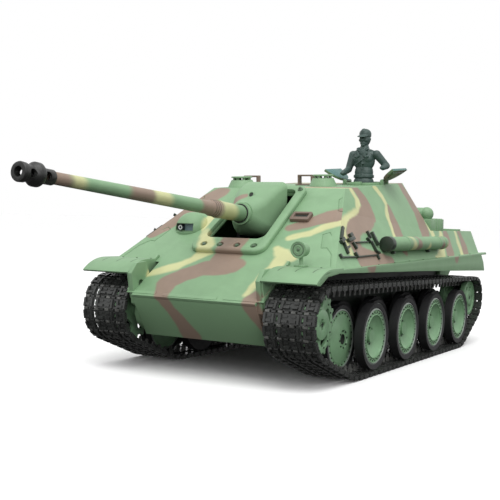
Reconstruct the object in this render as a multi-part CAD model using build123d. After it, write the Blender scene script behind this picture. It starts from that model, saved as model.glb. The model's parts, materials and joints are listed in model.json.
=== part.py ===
from build123d import *
import math
import os

# Radio-controlled 1:16 model of a turretless tracked gun vehicle. Millimetres and degrees.
# +X is the vehicle's left, -Y its front and +Z up. Z = 0 is the ground under the tracks.
# The script works with Y = 0 midway between the fourth and fifth wheel axles; save() moves
# every piece by FRAME_SHIFT_Y, so that the origin ends up under the middle of the whole length.
FRAME_SHIFT_Y = 75.18

WALL = 2.5                    # hull shell thickness
TUB_HALF = 55.0               # half width of the lower hull
FLOOR_Z = 28.0
NOSE = (0, -201.6, 60.2)      # where the glacis meets the lower front plate
ROOF_FRONT = (0, -74.0, 147.5)
BOW_FOOT = (0, -181.0, 28.0)  # lower end of the lower front plate
ROOF_BACK = (0, 69.5, 159.1)
TAIL_TOP = (0, 206.8, 114.3)
DECK_Z = 114.3
ROOF_HALF = 63.7              # half width of the roof at its front edge
SIDE_LEAN = 30.0              # lean of the upper side plates from the vertical
TAIL_LEAN = 30.0              # lean of the tail plate, its foot forward
CASEMATE_BACK_LEAN = 14.0
SPONSON_FRONT = (0, -162.0, 84.6)
SPONSON_RISE = 0.98           # degrees, upwards to the rear

GLACIS = math.degrees(math.atan2(ROOF_FRONT[2] - NOSE[2], ROOF_FRONT[1] - NOSE[1]))
ROOF_RISE = math.degrees(math.atan2(ROOF_BACK[2] - ROOF_FRONT[2], ROOF_BACK[1] - ROOF_FRONT[1]))
BOW = math.degrees(math.atan2(NOSE[2] - BOW_FOOT[2], BOW_FOOT[1] - NOSE[1]))

TRACK_X = 82.0                # track centre
TRACK_WIDTH = 41.25
LINKS = 88
PIN_HEIGHT = 2.2              # pin line above the ground
AXLE_COUNT = 8
AXLE_PITCH = 35.0
AXLE_Z = 30.6
WHEEL_RADIUS = 26.1
AXLE_PIN = 2.0
WHEEL_DISH = 5.2               # how deep the outer wheels' faces are sunk
RUNNING = 0.05                # radial clearance of a turning shaft
SPROCKET = (-174.5, 46.7)
SPROCKET_TEETH = 17
SPROCKET_PITCH_RADIUS = 25.6
SPROCKET_SHAFT = 3.0
IDLER = (169.5, 46.0)
IDLER_PITCH_RADIUS = 20.3
IDLER_RADIUS = 17.7
LINK_INNER = 1.7              # inner face of a link, inside the pin line
LINK_OUTER = 1.0              # outer face of a link's plate; its cleats reach PIN_HEIGHT

GUN_TILT = 4.46               # barrel above the horizontal as stored
TRUNNION = (0, -88.0, 121.3)
MUZZLE_Y = -380.5
TRUNNION_PIN = 3.0

HATCH_X, HATCH_Y = 38.5, 25.0
HATCH_RADIUS = 16.5
HINGE_REACH = 18.5            # hatch centre to each hinge pin
HINGE_LIFT = 3.4              # hinge pins above the roof
FLAP_OPEN = 145.0             # how far the flaps stand open as stored


def sin(angle):
    return math.sin(math.radians(angle))


def cos(angle):
    return math.cos(math.radians(angle))


# Each hull face is a point and the direction that it looks in.
FACE_GLACIS = (NOSE, (0, -sin(GLACIS), cos(GLACIS)))
FACE_BOW = (NOSE, (0, -sin(BOW), -cos(BOW)))
FACE_ROOF = (ROOF_FRONT, (0, -sin(ROOF_RISE), cos(ROOF_RISE)))
FACE_LEFT = ((ROOF_HALF, 0, ROOF_FRONT[2]), (cos(SIDE_LEAN), 0, sin(SIDE_LEAN)))
FACE_RIGHT = ((-ROOF_HALF, 0, ROOF_FRONT[2]), (-cos(SIDE_LEAN), 0, sin(SIDE_LEAN)))
FACE_BACK = (ROOF_BACK, (0, cos(CASEMATE_BACK_LEAN), sin(CASEMATE_BACK_LEAN)))
FACE_TAIL = (TAIL_TOP, (0, cos(TAIL_LEAN), -sin(TAIL_LEAN)))
FACE_DECK = ((0, 0, DECK_Z), (0, 0, 1))
FACE_SPONSON = (SPONSON_FRONT, (0, sin(SPONSON_RISE), -cos(SPONSON_RISE)))
FACE_FLOOR = ((0, 0, FLOOR_Z), (0, 0, -1))

GLACIS_PLANE = Plane(origin=NOSE, x_dir=(1, 0, 0), z_dir=FACE_GLACIS[1])
ROOF_PLANE = Plane(origin=ROOF_FRONT, x_dir=(1, 0, 0), z_dir=FACE_ROOF[1])
SIDE_PLANE = Plane(origin=FACE_LEFT[0], x_dir=(0, 1, 0), z_dir=FACE_LEFT[1])
TAIL_PLANE = Plane(origin=TAIL_TOP, x_dir=(-1, 0, 0), z_dir=FACE_TAIL[1])


def flipped(face):
    point, out = face
    return point, tuple(-v for v in out)


def side_wall(x):
    return (x, 0, 0), (math.copysign(1, x), 0, 0)


def convex(faces, inset=0.0):
    """The space behind all the faces, each moved inwards by inset."""
    body = Box(300, 700, 400)
    for point, out in faces:
        way = Vector(*out).normalized()
        cut = Plane(origin=Vector(*point) - way * inset, z_dir=way)
        body = split(body, bisect_by=cut, keep=Keep.BOTTOM)
    return body


def slab_x(points, x_low, x_high):
    """An outline of (y, z) points, extruded from x_low to x_high."""
    face = Plane.YZ * make_face(Polyline(*points, close=True))
    return extrude(Pos(x_low, 0, 0) * face, amount=x_high - x_low, dir=(1, 0, 0))


def rod_x(radius, x_low, x_high, y, z):
    return Pos((x_low + x_high) / 2, y, z) * Rot(0, 90, 0) * Cylinder(radius, x_high - x_low)


def box(x, y, z):
    """A box from its (low, high) pairs."""
    size = [high - low for low, high in (x, y, z)]
    return Pos(*[(low + high) / 2 for low, high in (x, y, z)]) * Box(*size)


def mirrored(part):
    return mirror(part, about=Plane.YZ)


def both(part):
    return [part, mirrored(part)]


def up_glacis(z):
    """Distance up the glacis from the nose to a height."""
    return (z - NOSE[2]) / sin(GLACIS)


def along_roof(y):
    return (y - ROOF_FRONT[1]) / cos(ROOF_RISE)


def sponson_z(y):
    return SPONSON_FRONT[2] + (y - SPONSON_FRONT[1]) * math.tan(math.radians(SPONSON_RISE))


def axle_y(number):
    return (number - 1 - (AXLE_COUNT - 1) / 2) * AXLE_PITCH


def save(name, part):
    solids = part if isinstance(part, list) else [part]
    solids = [piece for shape in solids for piece in shape.solids()]
    moved = [Pos(0, FRAME_SHIFT_Y, 0) * piece for piece in solids]
    export_step(moved[0] if len(moved) == 1 else Compound(children=moved), f"parts/{name}.step")


# Weld seams of the interlocking plates on the left half of the glacis: (x, height) corners.
SEAMS = [
    [(93.9, 87.8), (88.6, 96.1), (81.6, 100.6), (77.1, 100.2), (71.2, 110.3), (75.8, 112.0), (78.8, 109.9)],
    [(74.5, 128.5), (70.5, 129.0), (64.8, 138.2), (66.5, 139.8)],
]


# ---------------------------------------------------------------- hull

CASEMATE_FACES = [FACE_GLACIS, FACE_LEFT, FACE_RIGHT, FACE_ROOF, FACE_BACK, FACE_SPONSON]
DECK_START = ((0, 60, 0), (0, -1, 0))
DECK_FACES = [FACE_LEFT, FACE_RIGHT, FACE_DECK, FACE_TAIL, FACE_SPONSON, DECK_START]
TUB_FACES = [FACE_BOW, FACE_FLOOR, FACE_TAIL, side_wall(TUB_HALF), side_wall(-TUB_HALF)]
OPENING = [(-28.0, 102), (26.5, 102), (24.6, 143), (-24.6, 143)]   # gun opening: x, height
COLLAR = [(-35.5, 93), (33, 93), (31.8, 147), (-31.8, 147)]
BAY = ((-24, 24), (-26, 66))                                   # battery bay in the floor
SWITCH_SLOT = ((31.8, 36.2), (-16, -4))
COLLAR_BOLTS = [-23.0, -7.8, 7.6, 22.8]                        # x of the bolts in the lower bar
BOLT_HEIGHT = 96.8
BOW_MOUNT = (-54.0, 114.0)                                     # x and height of the ball mount
LAMP = (74.0, -170.0, 99.4)


def upper_envelope(inset=0.0):
    return convex(CASEMATE_FACES, inset) + convex(DECK_FACES, inset)


def glacis_face(points, radius):
    """A face on the glacis from (x, height) corners, rounded."""
    face = make_face(Polyline(*[(x, up_glacis(z)) for x, z in points], close=True))
    return fillet(face.vertices(), radius)


def engraved(shell, points, width=0.7, depth=0.5):
    """The shell with a groove cut into the glacis along the (x, height) points."""
    corners = [Vector(x, up_glacis(z)) for x, z in points]
    for start, end in zip(corners, corners[1:]):
        run, middle = end - start, (start + end) * 0.5
        turn = math.degrees(math.atan2(run.Y, run.X))
        place = GLACIS_PLANE * Pos(middle.X, middle.Y, 0) * Rot(0, 0, turn)
        shell -= place * Box(run.length + width, width, 2 * depth)
    return shell


def lower_hull():
    """Open tub: floor, sides, lower front plate and tail plate, with the towing ears."""
    roof = flipped(FACE_SPONSON)
    under_glacis = tuple(Vector(*NOSE) - Vector(*FACE_GLACIS[1]) * WALL)
    outer = convex(TUB_FACES + [roof, (under_glacis, FACE_GLACIS[1])])
    tub = outer - convex(TUB_FACES, WALL)
    ear = slab_x(
        [(-196.4, 53), (-202.0, 76.5), (-195, 84.4), (-183, 85.2), (-172, 60), (-184, 46)],
        TUB_HALF, TUB_HALF + 3.6,
    )
    ear -= rod_x(3.2, TUB_HALF - 1, TUB_HALF + 5, -189.3, 68.2)
    housing = rod_x(15.5, TUB_HALF, TUB_HALF + 5, *SPROCKET)
    housing += rod_x(9.0, TUB_HALF + 5, TUB_HALF + 8, *SPROCKET)
    for part in both(ear) + both(housing):
        tub += part
    tub -= rod_x(SPROCKET_SHAFT + RUNNING, -TUB_HALF - 12, TUB_HALF + 12, *SPROCKET)
    tub -= box(*BAY, (FLOOR_Z - 1, FLOOR_Z + WALL + 1))
    tub -= box(*SWITCH_SLOT, (FLOOR_Z - 1, FLOOR_Z + WALL + 1))
    for place in PolarLocations(6, 6):
        tub -= Pos(0, 130, FLOOR_Z) * place * Cylinder(1.5, 3 * WALL)
    return tub


def upper_hull():
    """Glacis, casemate, sponsons and engine deck in one shell, open below between the tub walls."""
    shell = upper_envelope() - upper_envelope(WALL)
    walls = [side_wall(TUB_HALF - WALL), side_wall(WALL - TUB_HALF)]
    span = [((0, 0, 100), (0, 0, 1)), ((0, 0, 70), (0, 0, -1))]
    shell -= convex(walls + span + [FACE_GLACIS, FACE_TAIL], 0) & convex([FACE_GLACIS, FACE_TAIL], WALL)
    under = tuple(Vector(*NOSE) - Vector(*FACE_GLACIS[1]) * WALL)
    nose = convex([
        FACE_GLACIS, FACE_BOW, (under, flipped(FACE_GLACIS)[1]), side_wall(TUB_HALF),
        side_wall(-TUB_HALF), ((0, -155, 0), (0, 1, 0)),
    ])
    shell += nose
    shell -= extrude(GLACIS_PLANE * Pos(0, 0, -8) * glacis_face(OPENING, 7), 16, dir=FACE_GLACIS[1])
    shell -= ROOF_PLANE * Pos(HATCH_X, along_roof(HATCH_Y), 0) * Cylinder(HATCH_RADIUS - 1.5, 10)
    for seam in SEAMS:
        shell = engraved(shell, seam)
        shell = engraved(shell, [(-x, z) for x, z in seam])
    return shell


def track_guards():
    """Curved front fender, running flange and tapering skirt of each side."""
    top = Polyline((-176, 86.8), (-158, 86.8), (-158, 85.2), (-176, 85.2))
    outer = ThreePointArc((-202, 77.1), (-191.2, 83.7), (-176, 86.8))
    inner = ThreePointArc((-200.8, 76.0), (-190.4, 82.2), (-176, 85.2))
    lip = Line((-202, 77.1), (-200.8, 76.0))
    fender_face = Plane.YZ * make_face(Curve() + [outer, top, inner, lip])
    fender = extrude(Pos(58.8, 0, 0) * fender_face, 44.6, dir=(1, 0, 0))
    cheek = slab_x(
        [(-200.8, 76.2), (-190.6, 82.2), (-180, 84.8), (-176, 85.2), (-166, 85.2), (-166, 83.2),
         (-184, 81.6), (-196, 75.6)],
        102.0, 103.4,
    )
    front, rear = -172.0, 196.0
    flange = slab_x(
        [(front, sponson_z(front) - 0.2), (rear, sponson_z(rear) - 0.2),
         (rear, sponson_z(rear) + 1.2), (front, sponson_z(front) + 1.2)],
        90.0, 103.4,
    )
    skirt = slab_x(
        [(front, sponson_z(front)), (179, sponson_z(179)), (187.6, 82.7), (191.6, 73.7), (0, 79.6),
         (front, 83.6)],
        102.0, 103.4,
    )
    guard = fender + cheek + flange + skirt
    guard += box((59.0, 102.2), (-177, -175), (81.6, 85.6))
    web = [(-200.8, 76.6), (-190.6, 82.6), (-176, 85.6), (-160, 85.6), (-160, 80), (-196, 57)]
    guard += slab_x(web, 58.8, 60.4)
    guard += slab_x([(-199.0, 61.6), (-199.0, 64.6), (-161.5, 90.2), (-160.0, 88.4)], 58.8, 60.8)
    guard += along_y(0.9, 190, 215, 97.0, sponson_z(rear) + 0.6)
    guard -= upper_envelope()
    guard -= box((0, 58.75), (-300, 300), (0, 200))
    return both(guard)


def tail_place(x, z):
    """A place on the tail plate, its own Y pointing up the plate."""
    return TAIL_PLANE.location * Pos(-x, (z - TAIL_TOP[2]) / cos(TAIL_LEAN), 0)


def rear_plate():
    plate = tail_place(0, 74) * Pos(0, 0, 1.0) * extrude(RectangleRounded(54, 78, 4), 1.0, both=True)
    hatch = tail_place(0, 78) * Pos(0, 0, 2.6) * Cylinder(13, 1.2)
    knob = tail_place(0, 78) * Pos(0, 0, 4.0) * Cylinder(3.5, 1.8)
    plate = plate + hatch + knob
    for angle in range(30, 390, 60):
        plate += tail_place(0, 78) * Pos(10.5 * cos(angle), 10.5 * sin(angle), 3.6) * Cylinder(1.1, 1.2)
    for x in (-21, 21):
        plate += tail_place(x, 48) * Pos(0, 0, 4.5) * Box(3, 12, 5)
    tow = tail_place(0, 50) * Pos(0, 0, 5.5) * (Box(12, 5, 7) - Pos(0, 0, 1) * Box(6, 9, 3))
    return plate + tow


def exhaust_pipes():
    """Armoured base, jacket and pipe of each silencer, standing behind the tail plate."""
    parts = []
    y = 211.0
    for x in (-19.5, 19.5):
        base = tail_place(x, 84) * Pos(0, 0, 12) * extrude(RectangleRounded(13, 16, 3), 10, both=True)
        base += Pos(x, y, 84) * Cylinder(5.2, 14)
        base += Pos(x, y, 99) * Cylinder(4.4, 24) + Pos(x, y, 110.5) * Cylinder(3.2, 8)
        parts.append(base - Pos(x, y, 113) * Cylinder(2.4, 20))
    return parts


def rear_bins():
    """Stowage bins, one on each side of the tail."""
    foot, lid = 58.0, 108.0
    slope = math.tan(math.radians(TAIL_LEAN))

    def plate_y(z):
        return TAIL_TOP[1] - (TAIL_TOP[2] - z) * slope + 0.4

    back = 229.0
    outline = [(plate_y(foot), foot), (plate_y(foot) + 26, foot), (back, 82), (back, lid),
               (plate_y(lid), lid)]
    low_x, high_x = 30.0, 59.0
    bin_body = slab_x(outline, low_x, high_x)
    bin_body += box((low_x - 0.8, high_x + 0.8), (plate_y(lid + 2), back + 0.8), (lid, lid + 2))
    for x in (37, 52):
        bin_body += box((x - 2, x + 2), (back - 0.4, back + 1.6), (97, 105))
    for z in (87, 92):
        bin_body += box((low_x + 2, high_x - 2), (back - 0.4, back + 0.6), (z - 0.6, z + 0.6))
    return both(bin_body)


def engine_hatch():
    plate = box((-34, 34), (118, 176), (DECK_Z, DECK_Z + 1.6))
    for x in (-22, 22):
        plate += Pos(x, 118.5, DECK_Z + 1.8) * Rot(0, 90, 0) * Cylinder(1.8, 10)
        plate += box((x - 6, x + 6), (168, 170), (DECK_Z + 3.4, DECK_Z + 5))
        plate += box((x - 6, x - 4.4), (168, 170), (DECK_Z + 1.4, DECK_Z + 4))
        plate += box((x + 4.4, x + 6), (168, 170), (DECK_Z + 1.4, DECK_Z + 4))
    plate += Pos(0, 147, DECK_Z + 2.2) * Cylinder(9, 1.6)
    return plate


def deck_grilles():
    """Four framed grilles and two round fan guards on the engine deck."""
    parts = []
    for x in (-57, 57):
        for y, length in ((134, 20), (190.5, 23)):
            frame = Box(32, length, 1.8) - Box(26, length - 6, 4)
            for row in range(7):
                frame += Pos(0, (row - 3) * (length - 6) / 7, -0.3) * Box(27, 1.1, 1.0)
            parts.append(Pos(x, y, DECK_Z + 0.9) * frame)
        fan = Cylinder(16.5, 2.0) - Cylinder(14.0, 4)
        for angle in range(0, 180, 30):
            fan += Rot(0, 0, angle) * Box(29, 1.0, 1.0)
        for radius in (5.0, 9.6):
            fan += Cylinder(radius, 1.0) - Cylinder(radius - 1.0, 4)
        parts.append(Pos(x, 161.5, DECK_Z + 1.0) * fan)
    return parts


def gun_collar():
    """Bolted frame round the gun opening, chamfered, with a deep lower bar."""
    face = glacis_face(COLLAR, 9) - glacis_face(OPENING, 7)
    collar = extrude(GLACIS_PLANE * face, 4.4, dir=FACE_GLACIS[1])
    top = collar.faces().sort_by(Axis((0, 0, 0), FACE_GLACIS[1]))[-1]
    collar = chamfer(top.outer_wire().edges(), 1.2)
    for x in COLLAR_BOLTS:
        collar -= GLACIS_PLANE * Pos(x, up_glacis(BOLT_HEIGHT), 4.4) * Cylinder(2.9, 5.0)
    return collar


def collar_bolts():
    bolt = Cylinder(1.9, 1.4) + Pos(0, 0, 1.2) * extrude(RegularPolygon(1.5, 6), 0.6, both=True)
    bolts = [GLACIS_PLANE * Pos(x, up_glacis(BOLT_HEIGHT), 2.7) * bolt for x in COLLAR_BOLTS]
    stud = Cylinder(2.2, 0.8) + Pos(0, 0, 1.2) * Cone(1.7, 0.9, 2.2)
    bolts.append(GLACIS_PLANE * Pos(27.6, up_glacis(142.5), 4.8) * stud)
    return bolts


def bow_mount():
    """Domed ball mount on the glacis, right of the gun, with a rectangular sight recess."""
    place = GLACIS_PLANE * Pos(BOW_MOUNT[0], up_glacis(BOW_MOUNT[1]), 0)
    dome = place * (Pos(0, 0, -4) * Sphere(14.5))
    dome = split(dome, bisect_by=GLACIS_PLANE, keep=Keep.TOP)
    recess = box((-64.5, -46.0), (-160, -127.4), (108.4, 115.6))
    return dome - recess


def lamp_lenses():
    """Clear front of the headlamp and the lens of the ball mount."""
    bow_lens = Pos(-59.0, -130.7, 112.2) * Rot(90, 0, 0) * Cylinder(2.6, 2.4)
    head = Pos(*LAMP) * Pos(0, -3.4, 0) * Rot(90, 0, 0) * Cylinder(4.1, 1.2)
    return [bow_lens, head]


def headlight():
    """Round lamp on a stalk, standing on the left fender."""
    shell = Pos(*LAMP) * Rot(90, 0, 0) * (Cylinder(5.2, 7) - Pos(0, 0, 3.4) * Cylinder(4.2, 2.4))
    dome = Pos(LAMP[0], LAMP[1] + 3.5, LAMP[2]) * Sphere(5.2)
    dome -= box((0, 200), (-300, LAMP[1] + 3.4), (0, 200))
    stalk = Pos(LAMP[0], LAMP[1] + 1, 90.8) * Cylinder(1.5, 8)
    foot = Pos(LAMP[0], LAMP[1] + 1, 87.5) * Box(8, 8, 1.4)
    return shell + dome + stalk + foot


def periscope_guards():
    """Two bent guards over the roof periscopes and the hooded vision slot in the glacis."""
    parts = []
    for x, y in ((-50.5, -30), (-10.2, 0)):
        bow = Box(15.5, 5, 9) - Pos(0, 0, -1) * Box(11.5, 9, 8)
        guard = Pos(0, 0, 5.3) * bow + Pos(0, 0, 0.5) * Box(18, 9, 1.0)
        parts.append(ROOF_PLANE * Pos(x, along_roof(y), 0) * guard)
    hood = extrude(RectangleRounded(17, 11, 1.5), 3.0)
    hood -= Pos(0, 0.8, 3) * Box(12.5, 5, 4)
    parts.append(GLACIS_PLANE * Pos(43.4, up_glacis(122.3), 0) * hood)
    return parts


def roof_sights():
    """Two cone-shaped sight turrets with capped tops on posts."""
    parts = []
    for x, y, height in ((-47.0, -54, 6.4), (17.0, -20, 7.2)):
        cone = Pos(0, 0, height / 2) * Cone(12.6, 9.4, height)
        for place in PolarLocations(6.8, 8):
            cone += Pos(0, 0, height + 1.0) * place * Box(2.2, 2.2, 2.4)
        cone += Pos(0, 0, height + 2.6) * Cylinder(9.4, 1.2)
        parts.append(ROOF_PLANE * Pos(x, along_roof(y), 0) * cone)
    return parts


# ---------------------------------------------------------------- hatch

HATCH_PLACE = ROOF_PLANE.location * Pos(HATCH_X, along_roof(HATCH_Y), 0)


def hatch_ring():
    """Ring round the commander's hatch with the hinge lugs and their pins."""
    ring = Pos(0, 0, 1.1) * (Cylinder(HATCH_RADIUS + 1.2, 2.2) - Cylinder(HATCH_RADIUS - 1.5, 5))
    for way in (-1, 1):
        x = way * HINGE_REACH
        for y in (-5.2, 5.2):
            lug = box((x - 1.6, x + 1.6), (y - 1.2, y + 1.2), (0, HINGE_LIFT))
            ring += lug + Pos(x, y, HINGE_LIFT) * Rot(90, 0, 0) * Cylinder(1.6, 2.4)
        ring += Pos(x, 0, HINGE_LIFT) * Rot(90, 0, 0) * Cylinder(0.8, 9.6)
    ring -= box((-HINGE_REACH - 2.4, 2.4 - HINGE_REACH), (-3.9, 3.9), (1.3, 2.6))
    ring -= box((HINGE_REACH - 2.4, HINGE_REACH + 2.4), (-3.9, 3.9), (1.3, 2.6))
    latch = box((-4, 4), (-HATCH_RADIUS - 6.2, -HATCH_RADIUS - 0.8), (0, 3.2))
    return HATCH_PLACE * (ring + latch)


def hatch_flap(way):
    """Half-round flap; way is 1 for the left flap and -1 for the right one."""
    disc = Pos(-HINGE_REACH, 0, 0.2) * Cylinder(HATCH_RADIUS + 0.4, 2.2)
    disc &= box((-HINGE_REACH + 0.2, 0), (-30, 30), (-5, 5))
    rib = Pos(-HINGE_REACH, 0, 1.6) * Cylinder(HATCH_RADIUS - 3.5, 1.0)
    rib &= box((-HINGE_REACH + 3.0, 0), (-30, 30), (-5, 5))
    knuckle = Rot(90, 0, 0) * Cylinder(1.7, 7.2)
    arm = box((-4.5, -0.9), (-3.0, 3.0), (-0.7, 1.3))
    flap = disc + rib + knuckle + arm - Rot(90, 0, 0) * Cylinder(0.8 + RUNNING, 20)
    flap -= box((-2.4, 3), (-7, -3.6), (-4, 4)) + box((-2.4, 3), (3.6, 7), (-4, 4))
    opened = Pos(HINGE_REACH, 0, HINGE_LIFT) * Rot(0, FLAP_OPEN, 0) * flap
    if way < 0:
        opened = mirrored(opened)
    return HATCH_PLACE * opened


def commander_figure():
    """Half figure of a crewman standing in the hatch, to be lifted out: cap, head, jacket, arms."""
    x, y = HATCH_X - 1.3, HATCH_Y
    lift = 2.0

    def ring(z, half_x, half_y, dy=0.0):
        return Pos(x, y + dy, z + lift) * Ellipse(half_x, half_y)

    trunk = loft([ring(143, 8, 7), ring(157, 10.5, 8), ring(164, 9.6, 6.8)])
    trunk += loft([ring(164, 9.6, 6.8), ring(176, 11.8, 7.4), ring(184, 12.6, 6.4), ring(187.5, 7.5, 5)])
    neck = Pos(x, y, 189.5 + lift) * Cylinder(3.3, 6)
    head = Pos(x, y - 0.5, 197 + lift) * scale(Sphere(1), (5.2, 6.0, 7.0))
    cap = Pos(x, y - 0.3, 203.2 + lift) * Cylinder(5.9, 4.4) + Pos(x, y - 6.0, 201.4 + lift) * Box(7, 5, 0.9)
    figure = trunk + neck + head + cap
    for way in (-1, 1):
        shoulder = Vector(x + way * 12.2, y, 185.0)
        elbow = Vector(x + way * 16.6, y + 2.0, 174.0)
        hand = Vector(x + way * 15.4, y - 6.5, 165.4)
        for start, end, radius in ((shoulder, elbow, 3.3), (elbow, hand, 2.7)):
            along = end - start
            bone = Plane(origin=start, z_dir=along).location
            figure += bone * Pos(0, 0, along.length / 2) * Cylinder(radius, along.length)
        for joint, radius in ((shoulder, 3.6), (elbow, 3.2), (hand, 3.0)):
            figure += Pos(joint.X, joint.Y, joint.Z) * Sphere(radius)
    return figure


# ---------------------------------------------------------------- side and deck fittings

TUBE_AXIS = (96.9, 103.4)
TUBE_ENDS = (-59.5, 76.0)
TUBE_RADIUS = 5.9


def along_y(radius, y_low, y_high, x, z):
    return Pos(x, (y_low + y_high) / 2, z) * Rot(90, 0, 0) * Cylinder(radius, y_high - y_low)


def cleaning_tube():
    """Closed tube for the gun's cleaning rods, along the left side."""
    low, high = TUBE_ENDS
    tube = along_y(TUBE_RADIUS, low + 3, high, *TUBE_AXIS)
    for y in (-24, 56, 70):
        tube += along_y(TUBE_RADIUS + 0.35, y - 1, y + 1, *TUBE_AXIS)
    return tube


def tube_fittings():
    """Dark front cap of the tube and the two cradles that carry it."""
    cap = along_y(TUBE_RADIUS + 0.4, TUBE_ENDS[0] - 4, TUBE_ENDS[0] + 3, *TUBE_AXIS)
    parts = [cap]
    for y in (-44, 40):
        arm = box((86, 97), (y - 1.5, y + 1.5), (95.0, 99.6)) - along_y(TUBE_RADIUS, y - 9, y + 9, *TUBE_AXIS)
        parts.append(arm - upper_envelope())
    return parts


def deck_tube():
    """Transverse tube behind the casemate on two ribbed boxes."""
    parts = [rod_x(6.0, -77.5, 77.5, 91.5, 130.4)]
    box_part = box((62, 81.4), (84.2, 122), (DECK_Z, 125.6)) - rod_x(6.0, 0, 100, 91.5, 130.4)
    box_part -= convex(CASEMATE_FACES)
    for y in (101, 108, 115):
        box_part += box((63, 82.1), (y - 0.7, y + 0.7), (DECK_Z + 0.6, 126.2))
    return parts + both(box_part)


# Clamps and rods of the tool racks, on the side plate: (y, z) at each end, width, height.
TOOL_BARS = [
    ((-134.6, 115.5), (-137.1, 107.1), 2.2, 2.0), ((-129.0, 115.6), (-121.0, 115.2), 2.4, 2.0),
    ((-144.9, 104.7), (-127.3, 106.8), 2.8, 2.6), ((-113.0, 109.4), (-108.5, 110.2), 3.0, 2.4),
    ((-120.6, 105.8), (-108.5, 107.3), 2.8, 2.6), ((-106.8, 104.3), (-82.3, 104.7), 1.0, 1.4),
    ((-81.8, 107.4), (-79.2, 104.0), 1.5, 2.4), ((-75.0, 112.6), (-74.7, 107.5), 1.8, 2.2),
    ((-76.3, 104.7), (-76.4, 97.3), 1.8, 2.2), ((-67.2, 111.6), (-67.3, 102.0), 2.6, 2.6),
    ((-75.0, 96.6), (-72.0, 95.6), 1.6, 2.2), ((-77.4, 94.1), (-77.3, 91.2), 2.0, 1.8),
    ((-129.6, 104.1), (-131.3, 96.6), 2.0, 2.2), ((-129.7, 100.2), (-122.5, 101.4), 1.8, 1.6),
    ((-113.1, 104.0), (-111.8, 99.7), 2.0, 2.2), ((-110.9, 101.3), (-108.5, 101.7), 1.6, 1.6),
    ((-146.2, 95.8), (-145.8, 93.4), 2.2, 2.0), ((-118.6, 96.4), (-117.6, 93.2), 2.2, 2.4),
    ((-145.3, 93.9), (-118.0, 93.6), 1.0, 1.4), ((-118.0, 93.6), (-77.2, 94.3), 1.0, 1.4),
]


TOOL_STUDS = [
    ((-127.6, 121.4), (-125.2, 121.4), 2.4, 3.2), ((-140.2, 108.6), (-138.0, 108.6), 2.2, 2.6),
    ((-147.0, 103.0), (-133.0, 112.6), 1.2, 1.2), ((-106.8, 104.3), (-82.3, 104.7), 1.0, 1.4),
]


def side_bar(start, end, width, height):
    """A bar on the side plate from (y, z) to (y, z), kept behind the plate's front edge."""
    rise = (ROOF_FRONT[2] - NOSE[2]) / (ROOF_FRONT[1] - NOSE[1])
    points = []
    for y, z in (start, end):
        edge = NOSE[1] + (z - NOSE[2]) / rise
        points.append(Vector(max(y, edge + 2.4), (z - ROOF_FRONT[2]) / cos(SIDE_LEAN)))
    middle = (points[0] + points[1]) * 0.5
    run = points[1] - points[0]
    turn = math.degrees(math.atan2(run.Y, run.X))
    bar = Pos(middle.X, middle.Y, height / 2) * Rot(0, 0, turn) * Box(run.length + width * 0.4, width, height)
    return SIDE_PLANE * bar


def tool_brackets():
    """Clips and rails for hand tools: a full rack on the left, a few studs and a rail on the right."""
    left, right = [
        [side_bar(start, end, width, height) for start, end, width, height in bars]
        for bars in (TOOL_BARS, TOOL_STUDS)
    ]
    return [sum(left[1:], left[0]), mirrored(sum(right[1:], right[0]))]


# ---------------------------------------------------------------- running gear

def track_circles():
    """(y, z, pin line radius) of the four wheels that shape the track, in the order of travel."""
    wheel = AXLE_Z - PIN_HEIGHT
    return [
        (axle_y(1), AXLE_Z, wheel), (axle_y(AXLE_COUNT), AXLE_Z, wheel),
        (*IDLER, IDLER_PITCH_RADIUS), (*SPROCKET, SPROCKET_PITCH_RADIUS),
    ]


def track_path():
    """The closed pin line: straight runs and arcs, from the foot of the first axle rearwards."""
    circles = track_circles()
    headings = []
    for (y1, z1, r1), (y2, z2, r2) in zip(circles, circles[1:] + circles[:1]):
        base = math.atan2(z2 - z1, y2 - y1)
        headings.append(base + math.asin((r1 - r2) / math.hypot(y2 - y1, z2 - z1)))
    runs = []
    for i, (y, z, radius) in enumerate(circles):
        y2, z2, radius2 = circles[(i + 1) % 4]
        heading = headings[i]
        out = (math.sin(heading), -math.cos(heading))
        start = (y + radius * out[0], z + radius * out[1])
        end = (y2 + radius2 * out[0], z2 + radius2 * out[1])
        runs.append(("line", math.dist(start, end), start, heading, 0))
        turn = (headings[(i + 1) % 4] - heading) % (2 * math.pi)
        runs.append(("arc", radius2 * turn, (y2, z2), heading, radius2))
    return runs


def on_path(runs, distance):
    """The point of the pin line at a distance along it."""
    distance %= sum(run[1] for run in runs)
    for kind, length, place, heading, radius in runs:
        if distance <= length:
            break
        distance -= length
    if kind == "line":
        return place[0] + distance * math.cos(heading), place[1] + distance * math.sin(heading)
    angle = heading + distance / radius
    return place[0] + radius * math.sin(angle), place[1] - radius * math.cos(angle)


RUNS = track_path()
LINK_PITCH = sum(run[1] for run in RUNS) / LINKS


def track_link():
    """One link, its front pin on the X axis, its inner face down and its next pin at LINK_PITCH."""
    half = TRACK_WIDTH / 2
    back = LINK_PITCH - 1.35
    link = box((-half, half), (0, back), (-LINK_INNER, LINK_OUTER))
    link += Rot(0, 90, 0) * Cylinder(1.0, TRACK_WIDTH)
    link += box((-half, half), (3.4, 5.6), (LINK_OUTER - 0.1, PIN_HEIGHT))
    for x in (-15.6, -5.2, 5.2, 15.6):
        link += box((x - 0.8, x + 0.8), (0.9, 7.6), (LINK_OUTER - 0.1, PIN_HEIGHT - 0.4))
    for way in (-1, 1):
        low, high = sorted((way * 5.4, way * 7.2))
        link += slab_x([(1.6, -1.6), (7.2, -1.6), (5.9, -7.6), (3.0, -7.6)], low, high)
        low, high = sorted((way * 7.9, way * 11.0))
        link -= box((low, high), (-2, LINK_PITCH), (-LINK_INNER - 0.5, 0.1))
    return link


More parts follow.
